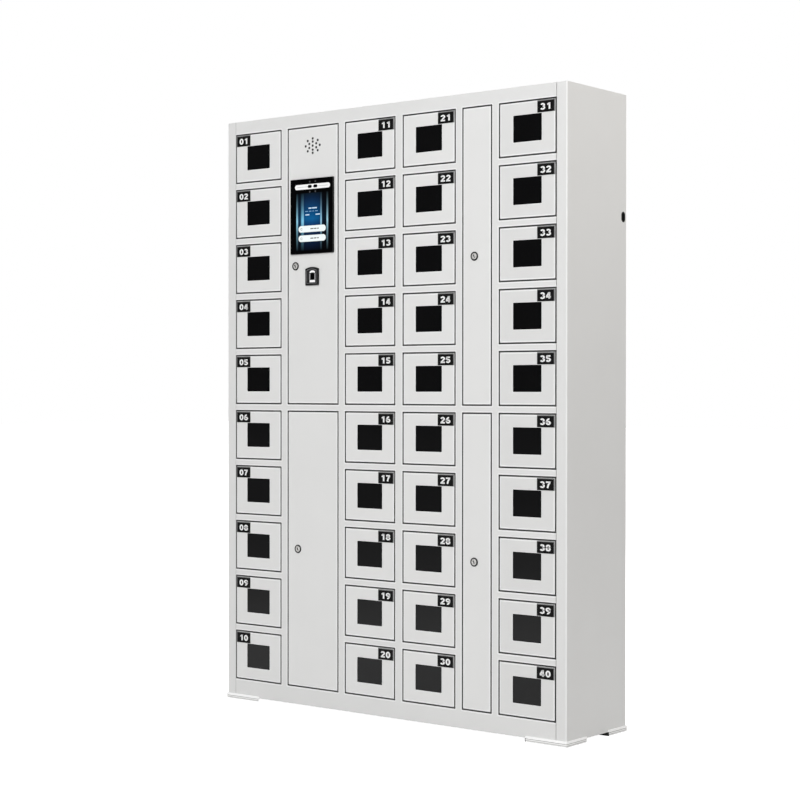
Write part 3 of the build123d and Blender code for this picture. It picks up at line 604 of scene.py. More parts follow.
def opening_path(opening, grow):
    """Edge of an opening (left, right, bottom, top) grown outwards, its corners eased; an outer column's
    opening is left open at the cabinet's side."""
    left, right, bottom, top = opening
    middle = ((left + right) / 2, (bottom + top) / 2)
    loop = rounded(right - left + 2 * grow, top - bottom + 2 * grow, 0.6 + grow, middle)
    quarter = len(loop) // 4
    if left < -FRAME_EDGE:
        loop = np.concatenate([loop[3 * quarter :], loop[:quarter]])
        ends = [(-FRAME_EDGE, bottom - grow), (-FRAME_EDGE, top + grow)]
        return np.array([ends[0], *loop, ends[1]]), False
    if right > FRAME_EDGE:
        loop = loop[quarter : 3 * quarter]
        return np.array([(FRAME_EDGE, top + grow), *loop, (FRAME_EDGE, bottom - grow)]), False
    return loop, True


OPENINGS = []
for column, (left, right) in enumerate(zip(LEFT_EDGES, RIGHT_EDGES)):
    phones = column in PHONE_COLUMNS
    tall, bottoms = (OPENING_HEIGHT, ROW_BOTTOMS) if phones else (SERVICE_HEIGHT, SERVICE_BOTTOMS)
    OPENINGS += [(left, right, low, low + tall) for low in bottoms]


def front_face():
    """The frame's face and the folds round its openings: flank, a quarter turn, and a rim, with painted shade
    in the gap and a painted highlight along the fold.
    """
    outline = rounded(2 * FRAME_EDGE, BODY_TOP - BODY_BOTTOM, 0.3, (0, (BODY_TOP + BODY_BOTTOM) / 2))
    surface = Surface()
    surface.fill(outline, 0.0, [opening_path(opening, BEND + RIM)[0] for opening in OPENINGS])
    steps = [(0.0, FRAME_DEPTH), *GAP_STEPS, *bend_profile(0.0, BEND), (BEND + RIM, 0.0)]
    for opening in OPENINGS:
        around = opening_path(opening, 0.0)[1]
        rows = [at_depth(opening_path(opening, grow)[0], depth) for grow, depth in steps]
        # Each fold gets painted shade in the gap and a painted highlight along its edge.
        surface.loft(rows, around=around, rims=FOLD_PAINTED_LIGHT)
    return surface


painted = {"slot": "body_paint", "thickness": SHEET}
welded = front_face()
surface_piece("front_frame_welded", welded, [frame_coat], skin=FRONT, stands_for=["front_frame"], **painted)


def gap_shade_seals():
    """Lip seals: in each opening, a flat black strip with eased edges that reaches 1.9 mm into the gap, where
    it also stands in as painted shade for the gap's darkness.
    """
    surface = Surface()
    lip = [(0.05, 2.4), (0.05, 1.7), (0.4, 1.45), (1.6, 1.45), (1.9, 1.7), (1.9, 2.4)]
    for left, right, bottom, top in OPENINGS:
        middle = ((left + right) / 2, (bottom + top) / 2)
        surface.loft(carried(inset_rectangle(right - left, top - bottom, 0.6, middle), lip), closed=True)
    return surface


surface_piece("gap_shade_seals", gap_shade_seals(), [rubber])


# ---- Side panels: one sheet folded onto the front and the back -------------------
def side_panel(outlet):
    """Path (x, depth) of the right side's sheet, with a quarter turn at each fold, carried up the height."""
    low, high = BODY_BOTTOM, BODY_TOP
    path = [(FOLD_EDGE, FRAME_DEPTH)]
    folds = [
        ((FOLD_EDGE + BEND, BEND), BEND, pi),
        ((HALF_WIDTH - CORNER_BEND, CORNER_BEND), CORNER_BEND, 3 * pi / 2),
        ((HALF_WIDTH - CORNER_BEND, BODY_DEPTH - CORNER_BEND), CORNER_BEND, 2 * pi),
    ]
    steps = 8  # points in a fold
    for (x, depth), radius, start in folds:
        turns = np.linspace(start, start + pi / 2, steps)
        path += [(x + radius * cos(a), depth + radius * sin(a)) for a in turns]
    path.append((HALF_WIDTH - REAR_FLANGE, BODY_DEPTH))
    face_start = 1 + steps
    path[face_start:face_start] = [(FOLD_EDGE + BEND + RIM, 0.0), (HALF_WIDTH - CORNER_BEND - 1.0, 0.0)]
    path = np.array(path)
    rims = np.zeros(len(path))
    # Painted shade in the seam beside the fold onto the front.
    rims[1:face_start] = -np.cos(np.linspace(0, pi / 2, steps)) * 0.6
    flat_start = face_start + 1 + steps
    # A painted highlight along the rounded front corner.
    rims[face_start + 2 : flat_start + 1] = np.sin(np.linspace(0, pi, steps))
    rows = np.stack([np.insert(path, 2, z, axis=1) for z in (high, low)], axis=1)
    surface = Surface()
    flat = np.array([(path[flat_start + i, 1], z) for i, z in ((0, low), (1, low), (1, high), (0, high))])
    hole = rounded(*OUTLET, OUTLET[0] / 2, (BODY_DEPTH - OUTLET_FROM_BACK, BODY_TOP - OUTLET_BELOW_TOP), 8)
    points, triangles = between(flat, [hole] if outlet else [])
    surface.add(np.insert(points, 0, HALF_WIDTH, axis=1), triangles)
    surface.loft(rows[: flat_start + 1], around=False, rims=rims[: flat_start + 1])
    surface.loft(rows[flat_start + 1 :], around=False)
    return surface


for name, outward in (("side_panel_right", 1), ("side_panel_left", -1)):
    panel = side_panel(outward > 0)
    panel.points = [points * (outward, 1, 1) for points in panel.points]
    side = Vector((outward, 0, 0))
    surface_piece(name, panel, [frame_coat], skin=side, stands_for=["shell_panels"], **painted)

shell = [solid for solid in cad_solids("shell_panels") if np.ptp(solid[0][:, 0]) > HALF_WIDTH * MM]
panels_mesh = solids_mesh("top_and_base_panels", shell, frame_coat)
make_piece("top_and_base_panels", panels_mesh, "cabinet", "body_paint")


# ---- Phone doors -----------------------------------------------------------------
def folded_door(width, height, holes):
    """Panel folded back on four sides: its face round its holes, a quarter turn, and the flank."""
    outline = shrinking(width, height, 2.0)
    surface = Surface().fill(outline(BEND + RIM), 0.0, holes)
    steps = [(0.0, DOOR_FOLD), *GAP_STEPS, *bend_profile(0.0, BEND), (BEND + RIM, 0.0)]
    # Each fold gets painted shade in the gap and a painted highlight along its edge.
    return surface.loft(carried(outline, steps), rims=FOLD_PAINTED_LIGHT)


door_width, door_height = OPENING_WIDTHS[0] - 2 * DOOR_GAP, OPENING_HEIGHT - 2 * DOOR_GAP
window_edge = shrinking(*WINDOW, WINDOW_CORNER)
panel_face = folded_door(door_width, door_height, [window_edge(-WINDOW_RIM)])
# A painted highlight on the door's face round the window's edge.
panel_face.loft(carried(window_edge, [(0.0, 0.0), (-WINDOW_RIM, 0.0)]), rims=[0.9, 0.0])
panel_meshes = [surface_mesh("door_panel", panel_face, coat, skin=FRONT) for coat in (door_coat, grey_coat)]
pane_size = (WINDOW[0] + 2 * PANE_OVERLAP, WINDOW[1] + 2 * PANE_OVERLAP)
pane_steps = [(0.0, SHEET + PANE), (0.0, SHEET + 0.2), (0.2, SHEET)]
pane = Surface().block(inset_rectangle(*pane_size, 1.0), pane_steps)
pane_mesh = surface_mesh("window_pane", pane, smoked_acrylic)


def number_plate(side):
    """Label blank with a printed field: the rim shows along the door's top and outer edge."""
    field = (PLATE[0] - 2.0, PLATE[1] - 2.0)
    across, up = door_width / 2 - PLATE_INSET - PLATE[0] / 2, door_height / 2 - PLATE_INSET - PLATE[1] / 2
    middle = (side * across, up)
    printed = (middle[0] - side * 1.0, middle[1] - 1.0)
    surface = Surface().block(inset_rectangle(*PLATE, 0.8, middle), [(0.0, 0.0), (0.0, -0.8), (0.15, -0.94)])
    surface.block(inset_rectangle(*field, 0.5, printed), [(0.0, -0.9), (0.0, -0.97), (0.05, -1.0)], 1)
    return surface, printed


FIGURE_HEIGHT, FIGURE_WIDTH, FIGURE_PITCH = 15.5, 14.0, 16.8
STROKE = (2.5, 1.8)  # half widths of upright and level strokes


def bow(middle, radii, start, end, count=14):
    """Arc of an oval: middle plus its two radii times (cos, sin), from one angle to another in degrees."""
    turn = np.radians(np.linspace(start, end, count))
    return [(middle[0] + radii[0] * cos(a), middle[1] + radii[1] * sin(a)) for a in turn]


def oval(middle, radii, count=20):
    """Closed stroke round an oval: a tuple, where an open stroke is a list."""
    return tuple(bow(middle, radii, 0, 345, count))


# Centre lines of the figures' strokes in a box 1 wide and 1 high.
FIGURES = {
    "0": [oval((0.5, 0.5), (0.35, 0.41), 24)],
    "1": [[(0.66, 0.0), (0.66, 1.0)], [(0.2, 0.74), (0.42, 0.79), (0.6, 0.93)]],
    "2": [[*bow((0.5, 0.7), (0.34, 0.205), 172, -28), (0.2, 0.16)], [(0.02, 0.1), (0.98, 0.1)]],
    "3": [bow((0.47, 0.71), (0.32, 0.19), 160, -85), bow((0.48, 0.3), (0.36, 0.205), 85, -162)],
    "4": [[(0.6, 0.95), (0.12, 0.33)], [(0.02, 0.28), (0.98, 0.28)], [(0.68, 0.0), (0.68, 1.0)]],
    "5": [[(0.16, 0.9), (0.92, 0.9)], [(0.24, 0.96), (0.18, 0.5)], bow((0.47, 0.32), (0.37, 0.22), 135, -160)],
    "6": [oval((0.5, 0.31), (0.35, 0.21)), bow((0.62, 0.33), (0.47, 0.57), 180, 78)],
    "7": [[(0.03, 0.9), (0.96, 0.9)], [(0.84, 0.86), (0.52, 0.5), (0.36, 0.0)]],
    "8": [oval((0.5, 0.715), (0.3, 0.185)), oval((0.5, 0.3), (0.35, 0.205))],
    "9": [oval((0.5, 0.69), (0.35, 0.21)), bow((0.38, 0.67), (0.47, 0.57), 0, -102)],
}


def number_surface(number, middle):
    """Two printed figures: each stroke is a flat band, half a stroke to either side of its centre line,
    0.06 mm thick."""
    surface = Surface()
    for figure, place in zip(f"{number:02}", (-0.5, 0.5)):
        corner = (middle[0] + place * FIGURE_PITCH - FIGURE_WIDTH / 2, middle[1] - FIGURE_HEIGHT / 2)
        for stroke in FIGURES[figure]:
            closed = isinstance(stroke, tuple)
            line = np.array(stroke) * (FIGURE_WIDTH, FIGURE_HEIGHT) + corner
            along = (np.roll(line, -1, 0) - np.roll(line, 1, 0)) if closed else np.gradient(line, axis=0)
            along /= np.linalg.norm(along, axis=1, keepdims=True)
            out = np.stack([-along[:, 1] * STROKE[0], along[:, 0] * STROKE[1]], -1)
            sides = [(line - out, -0.98), (line + out, -0.98), (line + out, -1.04), (line - out, -1.04)]
            rows = np.stack([at_depth(side, depth) for side, depth in sides], 1)
            surface.loft(rows, closed=closed)
            if not closed:
                surface.cap(0, rows[0], rows[-1])
    return surface


plates = {side: number_plate(side) for side in (-1, 1)}
plate_meshes = {
    side: surface_mesh("number_plate", surface, label_rim, black_ink) for side, (surface, _) in plates.items()
}

HINGE_INSET, HINGE_DEPTH, PIN, PIN_TIP = 9.0, 4.0, 1.5, 3.0


def hinge_pins(width, height, side):
    """Top and bottom pins of a door hinged at a side: a head inside the fold, a shank and its tip."""
    fold, tip = height / 2 - SHEET, height / 2 + SHEET + DOOR_GAP + PIN_TIP
    profile = [(2.2, fold - 1.5), (2.6, fold - 1.2), (2.6, fold), (PIN, fold), (PIN, tip - 0.5), (1.0, tip)]
    surface = Surface()
    for end in (1, -1):
        steps = [(radius, end * z) for radius, z in profile]
        surface.lathe(steps, (side * (width / 2 - HINGE_INSET), HINGE_DEPTH), 20, upright=True)
    return surface


pins_meshes = {
    side: surface_mesh("hinge_pins", hinge_pins(door_width, door_height, side), zinc_steel) for side in (-1, 1)
}

for index, column in enumerate(PHONE_COLUMNS):
    plate_side = -1 if column == 0 else 1
    hinge_side = -1 if column in (0, 3) else 1
    for row, bottom in enumerate(ROW_BOTTOMS):
        number = index * ROWS + row + 1
        name = f"door_{number:02}"
        shift = (MIDDLES[column], 0.0, bottom + OPENING_HEIGHT / 2)
        make_piece(f"{name}_panel", panel_meshes[column == 5], name, "door_paint", [name], shift, SHEET)
        make_piece(f"{name}_window", pane_mesh, name, shift=shift)
        make_piece(f"{name}_plate", plate_meshes[plate_side], name, shift=shift)
        figures = number_surface(number, plates[plate_side][1])
        surface_piece(f"{name}_number", figures, [white_ink], name, shift=shift)
        make_piece(f"{name}_pins", pins_meshes[hinge_side], name, shift=shift)
        strike = [s for s in cad_solids(name) if np.ptp(s[0][:, 0]) < 0.02]
        make_piece(f"{name}_strike", solids_mesh(name, strike, zinc_steel), name, "lock_case")


# ---- Service doors, their locks, and what the upper control door carries ---------
CAM_INSET, CONTROL_CAM_INSET = 37.7, 29.0
TERMINAL_BELOW, READER_BELOW, SPEAKER_BELOW = 236.8, 395.0, 51.5
control_top = SERVICE_HEIGHT / 2
terminal_z, reader_z = control_top - TERMINAL_BELOW, control_top - READER_BELOW
speaker_z = control_top - SPEAKER_BELOW
GRILLE_RINGS = [(6, 14.0, 10.7), (8, 24.5, 19.0)]
GRILLE_HOLE, GRILLE_EDGE = 2.6, 1.5
PLUG_FACE, PLUG_BACK = -2.2, 18.6
BARREL, PLUG_SEAT = 9.0, 6.1  # radii of a cam lock's barrel and of the hole for its plug
KEYWAY, KEYWAY_TURN, KEYWAY_DEPTH = (3.4, 8.8, 1.0), radians(24), 4.0
NUT_CORNERS = 13.86  # radius of the hexagonal nut's corners
NUT_STEPS = [(0.6, SHEET), (0.0, SHEET + 0.5), (0.0, 4.2), (0.6, 4.7)]
BOX_MARGIN = 14.0  # the terminal is this much wider and higher than its box behind the door
READER_BOX = (34.0, 34.0)


def grille_holes(radius):
    """Holes of the speaker's grille: one in the middle and two oval rings round it."""
    points = [(0.0, speaker_z)]
    for holes, half_wide, half_high in GRILLE_RINGS:
        turns = [pi / 2 + 2 * pi * hole / holes for hole in range(holes)]
        points += [(half_wide * cos(a), speaker_z + half_high * sin(a)) for a in turns]
    return [round_loop(radius, point, 20) for point in points]


def lock_bezel(middle):
    """Barrel of a cam lock: (radius, depth) steps turned round. A domed flange painted dark as shade and
    reflection, then a bright dished seat round the plug."""
    flange = [(BARREL, FRAME_DEPTH), (BARREL, 0.0), (11.0, 0.0), (11.0, -1.2), (10.7, -1.9), (10.0, -2.4)]
    flange += [(9.0, -2.5), (8.3, -2.3), (7.9, -1.2)]
    seat = [(7.9, -1.2), (7.7, -1.2), (7.4, -1.9), (6.9, -2.2), (6.3, -2.2)]
    seat += [(PLUG_SEAT, -1.9), (PLUG_SEAT, FRAME_DEPTH)]
    surface = Surface()
    for finish, profile in enumerate((flange, seat)):
        surface.loft(turned(profile, middle), finish)
    return surface.loft(turned([(PLUG_SEAT, FRAME_DEPTH), (BARREL, FRAME_DEPTH)], middle))


def lock_plug(middle):
    """Plug: a disc with an eased edge and a slanted keyway, a flat-sided slot sunk into it."""
    across, up = cos(KEYWAY_TURN), sin(KEYWAY_TURN)
    slot = rounded(*KEYWAY) @ np.array([[across, up], [-up, across]]) + middle
    rim = [(5.9, PLUG_BACK), (5.9, PLUG_FACE + 0.3), (5.6, PLUG_FACE)]
    rows, floor_of_slot = turned(rim, middle), at_depth(slot, PLUG_FACE + KEYWAY_DEPTH)
    surface = Surface().loft(rows).cap(0, rows[0])
    surface.fill(round_loop(5.6, middle, 48), PLUG_FACE, [slot])
    # The keyway's sides and floor are black plastic, painted shade standing in for the depth of a real keyway.
    return surface.loft([at_depth(slot, PLUG_FACE), floor_of_slot], 1).cap(1, floor_of_slot)


service_doors = [
    ("control_door", CONTROL, 0, CONTROL_CAM_INSET),
    ("power_door", CONTROL, 1, CAM_INSET),
    ("upper_wiring_door", WIRING, 0, CAM_INSET),
    ("lower_wiring_door", WIRING, 1, CAM_INSET),
]
for name, column, level, inset in service_doors:
    width = OPENING_WIDTHS[column] - 2 * DOOR_GAP
    lock = (inset - OPENING_WIDTHS[column] / 2, 0.0)
    holes = [round_loop(BARREL, lock, 32)]
    if name == "control_door":
        box = (TERMINAL[0] - BOX_MARGIN, TERMINAL[1] - BOX_MARGIN)
        holes += [rounded(*box, 0.5, (0, terminal_z)), rounded(*READER_BOX, 0.5, (0, reader_z))]
        holes += grille_holes(GRILLE_HOLE + GRILLE_EDGE)
    shift = (MIDDLES[column], 0.0, SERVICE_BOTTOMS[level] + SERVICE_HEIGHT / 2)
    door_surface = folded_door(width, SERVICE_HEIGHT - 2 * DOOR_GAP, holes)
    if name == "control_door":  # a ring of painted shade round each punched hole
        for inner, outer in zip(grille_holes(GRILLE_HOLE), grille_holes(GRILLE_HOLE + GRILLE_EDGE)):
            door_surface.loft([at_depth(inner, 0.0), at_depth(outer, 0.0)], rims=[-1.0, 0.0])
    door_mesh = surface_mesh(name, door_surface, door_coat, skin=FRONT)
    make_piece(f"{name}_panel", door_mesh, name, "door_paint", [name], shift, SHEET)
    barrel = surface_mesh(name, lock_bezel(lock), nickel_flange_painted_shade, satin_nickel)
    make_piece(f"{name}_lock_barrel", barrel, name, "lock_chrome", shift=shift)
    core = f"{name}_cam"
    plug = surface_mesh(core, lock_plug(lock), satin_nickel, black_abs)
    make_piece(f"{name}_lock_plug", plug, core, "lock_chrome", [core], shift)
    lever = solids_mesh(core, cad_solids(core)[1:], zinc_steel)
    make_piece(f"{name}_lock_lever", lever, core, "lock_case")
    hexagon = [(NUT_CORNERS - inset, depth) for inset, depth in NUT_STEPS]
    nut_rows = turned(hexagon, lock, 6)
    nut = Surface().loft(nut_rows).cap(0, nut_rows[0], nut_rows[-1])
    surface_piece(f"{name}_lock_nut", nut, [zinc_steel], name, slot="lock_case", shift=shift)
    pins = hinge_pins(width, SERVICE_HEIGHT - 2 * DOOR_GAP, 1)
    surface_piece(f"{name}_pins", pins, [zinc_steel], name, shift=shift)


# ---- Control terminal: housing, glass, light bar, lenses and a plain screen ----
def slab(surface, width, height, radius, middle, depths, edge=0.0, finish=0, steps=4):
    """Rounded slab between two depths, its front edge eased."""
    back, front = depths
    profile = [(0.0, back), (0.0, front + edge), (edge, front)] if edge else [(0.0, back), (0.0, front)]
    return surface.block(shrinking(width, height, radius, middle, steps), profile, finish)


def terminal_housing():
    """Flange with a rim round the glass, over the box that passes through the door."""
    surface = Surface()
    width, height = TERMINAL
    rim = [(0.0, 0.0), (0.0, -4.2), (0.25, -4.75), (0.8, -5.0), (1.0, -4.9), (1.0, -3.0)]
    rows = carried(shrinking(width, height, 2.0, (0, terminal_z), 5), rim)
    surface.loft(rows).cap(0, rows[0], rows[-1])
    return slab(surface, width - BOX_MARGIN, height - BOX_MARGIN, 1.0, (0, terminal_z), (24.0, 0.0))


terminal_shift = (MIDDLES[CONTROL], 0.0, SERVICE_BOTTOMS[0] + SERVICE_HEIGHT / 2)


def on_terminal(name, surface, *materials, **more):
    """A piece fixed on the upper control door, in that door's own measures."""
    surface_piece(name, surface, materials, "control_door", shift=terminal_shift, **more)


flanged = terminal_housing()
on_terminal("terminal_housing", flanged, black_abs, slot="terminal_black", stands_for=["control_terminal"])
glass = slab(Surface(), TERMINAL[0] - 2.2, TERMINAL[1] - 2.2, 1.0, (0, terminal_z), (-3.0, -4.86), 0.3)
on_terminal("terminal_glass", glass, black_glass)
SCREEN = (116.0, 151.0)
screen_x, screen_z = 4.3, terminal_z - 14.5
screen = slab(Surface(), *SCREEN, 0.5, (screen_x, screen_z), (-4.7, -4.88))
on_terminal("terminal_screen", screen, screen_glow)

bar_x, bar_z = 3.2, terminal_z + 77.6
bar = slab(Surface(), 122.5, 13.2, 6.6, (bar_x, bar_z), (-4.7, -4.9), steps=8)
on_terminal("terminal_light_bar", bar, led_white)
groove = slab(Surface(), 106.0, 1.2, 0.6, (bar_x, bar_z), (-4.8, -4.92))
on_terminal("terminal_light_bar_joint", groove, led_joint)
lenses, irs = Surface(), Surface()
for x in (-6.0, 13.4):
    slab(lenses, 14.0, 8.2, 4.1, (x, bar_z + 0.4), (-4.8, -4.95), 0.03, steps=8)
    lenses.lathe([(3.4, -4.9), (3.4, -4.97), (2.0, -4.99), (0.0, -5.0)], (x, bar_z + 0.4), 24, 1)
    for up in (12.8, -13.6):
        irs.lathe([(2.4, -4.8), (2.4, -4.9), (1.6, -4.94), (0.0, -4.95)], (x, bar_z + up), 16)
on_terminal("terminal_lenses", lenses, black_glass, lens_glass)
on_terminal("terminal_infrared_leds", irs, led_dim)

# Plain marks in the place of a screen's words, and two buttons with a ring and a dash for their labels.
words, faint_words, buttons, labels = Surface(), Surface(), Surface(), Surface()
ON_SCREEN = (-4.85, -4.92)
text_x = screen_x - 1.7
# (x, length, z, height) of the marks.
WORDS = [(-7.5, 11.0, 35.3, 3.2), (8.0, 17.0, 35.3, 3.2), (-17.0, 14.0, 18.1, 3.0), (19.5, 16.0, 18.1, 3.0)]
for x, length, up, tall in WORDS:
    slab(words, length, tall, 1.2, (text_x + x, screen_z + up), ON_SCREEN)
for x, length in ((-19.5, 10.0), (-7.0, 9.0), (3.5, 6.0), (14.5, 10.0)):
    slab(faint_words, length, 2.2, 1.0, (text_x + x, screen_z + 27.1), ON_SCREEN)
for up in (-19.0, -44.0):
    slab(buttons, 95.0, 17.0, 8.4, (screen_x - 2.2, screen_z + up), ON_SCREEN, steps=8)
    for x, length in ((-1.0, 11.0), (10.5, 9.0), (20.0, 6.0)):
        slab(labels, length, 2.8, 1.0, (text_x + x, screen_z + up), (-4.9, -4.95))
    labels.lathe([(3.2, -4.9), (3.2, -4.95), (2.3, -4.95), (2.3, -4.9)], (screen_x - 39.7, screen_z + up), 24)
on_terminal("screen_words", words, ui_white)
on_terminal("screen_faint_words", faint_words, ui_pale)
on_terminal("screen_buttons", buttons, ui_button)
on_terminal("screen_button_labels", labels, ui_grey)


# ---- Fingerprint reader: an arched housing with a funnel down to its window ----
READER = (45.3, 48.5)
READER_ARCH = 5.0


def arched(inset):
    """Reader's outline moved inwards: level foot, upright sides, and a crown that falls off with the
    square of the distance from the middle."""
    half, foot = READER[0] / 2 - inset, -READER[1] / 2 + inset
    crown, shoulder = READER[1] / 2 - inset, READER[1] / 2 - READER_ARCH - 0.8 * inset
    x = np.linspace(half, -half, 25)
    arch = np.stack([x, shoulder + (crown - shoulder) * (1 - (x / half) ** 2)], -1)
    feet = [(-half, foot + 0.8), (-half + 0.8, foot), (half - 0.8, foot), (half, foot + 0.8)]
    return np.concatenate([arch, feet]) + (0, reader_z)


housing = Surface()
# (inset, depth) of the shell's rim, of the grey ring let into it, and of the funnel.
SHELL_RIM = [(0.0, 0.0), (0.0, -3.4), (0.3, -4.1), (1.0, -4.45), (1.5, -4.5), (4.6, -4.5)]
GREY_RING = [(4.6, -4.5), (5.0, -4.2), (5.8, -4.2), (6.1, -4.0)]
FUNNEL = [(6.1, -4.0), (8.6, -1.3), (9.2, -1.0)]
for finish, profile in ((0, SHELL_RIM), (1, GREY_RING), (0, FUNNEL)):
    housing.loft(carried(arched, profile), finish)
housing.cap(0, *carried(arched, (SHELL_RIM[0], FUNNEL[-1])))
slab(housing, *READER_BOX, 0.5, (0, reader_z), (20.0, 0.0))
reader = {"slot": "reader_black", "stands_for": ["fingerprint_reader"]}
on_terminal("reader_housing", housing, black_abs, grey_abs, **reader)
turns = np.linspace(radians(12), radians(168), 17)
outer = np.stack([9.9 * np.cos(turns), 8.6 + 6.6 * np.sin(turns)], -1) + (0, reader_z)
inner = np.stack([7.2 * np.cos(turns), 8.2 + 1.6 * np.sin(turns)], -1) + (0, reader_z)
crescent = Surface()
rows = [at_depth(side, depth) for side, depth in ((outer, -0.9), (outer, -1.8), (inner, -1.8), (inner, -0.9))]
rows = np.stack(rows, 1)
crescent.loft(rows).cap(0, rows[0], rows[-1])
slab(crescent, 18.6, 6.2, 0.9, (0, reader_z - 13.2), (-0.9, -1.8), 0.2)
on_terminal("reader_light_guides", crescent, led_white)
window = slab(Surface(), 13.0, 16.6, 2.5, (0, reader_z - 1.2), (-0.9, -1.9), 0.3)
on_terminal("reader_window", window, black_glass)
# Grey strips beside the window, painted shade on the plate's sides.
side_shade_strips = Surface()
for x in (-9.2, 9.2):
    slab(side_shade_strips, 4.0, 16.6, 1.0, (x, reader_z - 1.0), (-0.9, -1.7), 0.2)
on_terminal("reader_side_shade_strips", side_shade_strips, reader_side_shade)


# ---- Feet: grooved white corner caps; black rubber inside and dark end caps are painted shade under the cabinet ---
FOOT_ARM, FOOT_SIDE_ARM = 120.0, 88.0
FOOT_WIDTH, FOOT_LIP, FOOT_LIP_HEIGHT = 28.0, 3.0, 5.0
FOOT_SHADE_PAD, FOOT_END, FOOT_MITRE = 12.0, 1.6, 26.0


def corner_loop(inset, start, width, arms, mitre=FOOT_MITRE):
    """Level outline of an L round a corner, moved inwards: its outer corner is an arc of radius 3, and the
    end of its arm along the front is cut back by a mitre."""
    radius = max(FOOT_LIP - inset, 0.3)
    turn = np.linspace(pi, 3 * pi / 2, 5)
    arc = np.stack([np.cos(turn), np.sin(turn)], -1) * radius + start + inset + radius
    near, far = start + inset, start + width - inset
    u, v = arms[0] - inset, arms[1] - inset
    return np.array([*arc, (u, near), (u - mitre, far), (far, far), (far, v), (near, v)])


def foot_solid(surface, loops, finish=0, rims=0.0):
    """Level outlines carried up through their heights and closed at both ends."""
    rows = [np.insert(loop, 2, z, axis=1) for loop, z in loops]
    surface.loft(rows, finish, rims=rims).cap(finish, rows[0], rows[-1])


def corner_foot(front_cap, side_cap):
    """Foot whose corner is at the origin: a grooved shell with painted shade in its grooves and a painted
    highlight on its lip, rubber inside and end caps as painted shade.
    """
    surface = Surface()
    arms = (FOOT_ARM - front_cap * FOOT_END, FOOT_SIDE_ARM - side_cap * FOOT_END)
    top = BODY_BOTTOM + FOOT_LIP_HEIGHT
    # (inset, z, rim) of the shell, whose two grooves are painted darker as shade, and of the lip above it,
    # painted white as a highlight.
    shell = [(0.9, 0.0, 0), (0.0, 0.9, 0), (0.0, 3.0, 0), (0.8, 3.4, -1), (0.8, 4.6, -1), (0.0, 5.0, 0)]
    shell += [(0.0, 7.2, 0), (0.8, 7.6, -1), (0.8, 8.8, -1), (0.0, 9.2, 0), (0.0, BODY_BOTTOM, 1)]
    lip = [(0.0, BODY_BOTTOM, 1), (0.0, top - 0.8, 1), (0.5, top, 1)]
    loops = [(corner_loop(inset, 0.0, FOOT_WIDTH, arms), z) for inset, z, _ in shell]
    loops += [(corner_loop(inset, 0.0, FOOT_LIP, arms, 0.0), z) for inset, z, _ in lip]
    foot_solid(surface, loops, rims=[rim for _, _, rim in shell + lip])
    hidden = (arms[0] - FOOT_MITRE, arms[1] - 14.0)
    # Black rubber blocks along the inner sides and dark end caps are painted shade under the cabinet.
    pads = ((0.5, 0.0), (0.0, 0.5), (0.0, BODY_BOTTOM))
    loops = [(corner_loop(inset, FOOT_WIDTH, FOOT_SHADE_PAD, hidden, 10.0), z) for inset, z in pads]
    foot_solid(surface, loops, 1)
    ends = []
    if side_cap:
        ends += [[(0.0, arms[1]), (FOOT_WIDTH, arms[1]), (FOOT_WIDTH, FOOT_SIDE_ARM), (0.0, FOOT_SIDE_ARM)]]
    if front_cap:
        back = [(FOOT_ARM - FOOT_MITRE, FOOT_WIDTH), (arms[0] - FOOT_MITRE, FOOT_WIDTH)]
        ends += [[(arms[0], 0.0), (FOOT_ARM, 0.0), *back]]
    for end in ends:
        foot_solid(surface, [(np.array(end), 0.3), (np.array(end), BODY_BOTTOM)], 1)
    return surface


feet = Surface()
for side in (1, -1):
    for depth, inward in ((-FOOT_LIP, 1), (BODY_DEPTH + FOOT_LIP, -1)):
        foot = corner_foot(side == inward, inward < 0)
        points = np.concatenate(foot.points)
        x = side * (HALF_WIDTH + FOOT_LIP - points[:, 0])
        placed = np.stack([x, depth + inward * points[:, 1], points[:, 2]], -1)
        feet.add(placed, foot.faces, 0, np.concatenate(foot.rims))
        feet.finishes[-len(foot.faces) :] = foot.finishes
plastic = {"slot": "foot_plastic", "stands_for": ["corner_feet"]}
surface_piece("corner_feet_moulded", feet, [white_plastic, rubber], **plastic)


# ---- Cable outlet: a rubber grommet whose opening is closed by a membrane ----
def at_side(loop, x):
    """A loop of (depth, z) on the right side, at a distance x from the cabinet's middle."""
    return np.insert(loop, 0, x, axis=1)


def outlet_loop(grow):
    """Slot with round ends, grown outwards."""
    middle = (BODY_DEPTH - OUTLET_FROM_BACK, BODY_TOP - OUTLET_BELOW_TOP)
    return rounded(OUTLET[0] + 2 * grow, OUTLET[1] + 2 * grow, OUTLET[0] / 2 + grow, middle, 8)


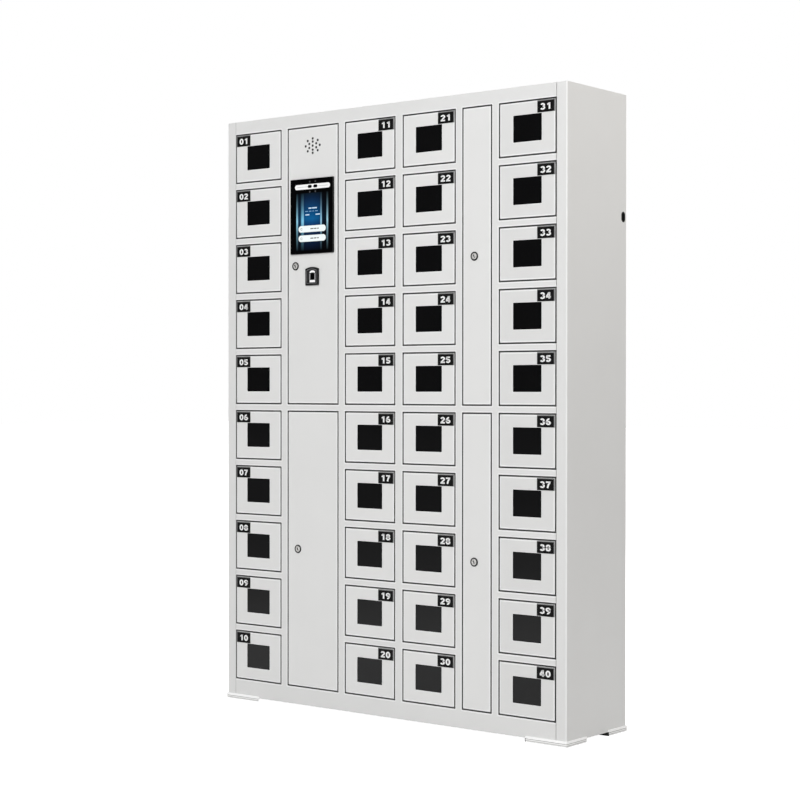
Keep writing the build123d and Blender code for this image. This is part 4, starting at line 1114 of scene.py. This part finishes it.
# (growth, distance outside the panel) round the grommet's section: inner flange, neck, and domed outer flange.
ring = [(-1.2, -2.1), (2.0, -2.1), (2.0, -1.2), (0.0, -1.2), (0.0, 0.0)]
ring += [(2.0, 0.0), (1.9, 0.6), (1.4, 0.98), (0.2, 0.95), (-1.2, 0.3)]
rows = [at_side(outlet_loop(grow), HALF_WIDTH + x) for grow, x in ring]
grommet = Surface().loft(rows).cap(1, rows[0], rows[-1])
moulded = {"slot": "grommet_rubber", "stands_for": ["cable_grommet"]}
surface_piece("cable_grommet_rubber", grommet, [rubber, membrane_black], **moulded)


# ---- Back panel: sheet, and domed screws with a hexagon socket -------------------
back_solids = cad_solids("back_panel")
back_sheet = solids_mesh("back_panel_sheet", back_solids[:1], frame_coat)
make_piece("back_panel_sheet", back_sheet, "cabinet", "body_paint", ["back_panel"])
sheet = back_solids[0][0][:, 1].max() / MM - FRONT_Y
screws = Surface()
for points, _ in back_solids[1:]:
    low, high = points.min(0) / MM, points.max(0) / MM
    middle, head, tip = ((low[0] + high[0]) / 2, (low[2] + high[2]) / 2), high[1] - FRONT_Y, low[1] - FRONT_Y
    socket = round_loop(1.6, middle, 6)
    socket_floor = at_depth(socket, head - 1.4)
    shank = [(1.9, tip), (2.0, tip + 0.4), (2.0, sheet)]
    dome = [(4.0, sheet), (3.9, head - 1.2), (3.2, head - 0.3), (2.4, head)]
    rows = turned(shank + dome, middle, 24)
    screws.loft(rows).cap(0, rows[0])
    screws.fill(round_loop(2.4, middle, 24), head, [socket])
    screws.loft([at_depth(socket, head), socket_floor]).cap(0, socket_floor)
surface_piece("back_panel_screws", screws, [zinc_steel])

# ---- Electronics behind the service doors: supply, battery and lock boards --------
supply, battery, *boards = cad_solids("control_electronics")
supply_mesh = solids_mesh("power_supply", [supply], aluminium)
make_piece("power_supply", supply_mesh, "cabinet", "electronics_case", ["control_electronics"])
make_piece("backup_battery", solids_mesh("backup_battery", [battery], black_abs), "cabinet")
make_piece("lock_boards", solids_mesh("lock_boards", boards, board_green), "cabinet")

# ---- CAD nodes that keep their shape and get their finish ------------------------
finishes = {
    "compartment_walls": frame_coat,
    "shelves": frame_coat,
    "electric_locks": zinc_steel,
    "speaker": black_abs,
}
for node, finish in finishes.items():
    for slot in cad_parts[node].material_slots:
        slot.material = finish
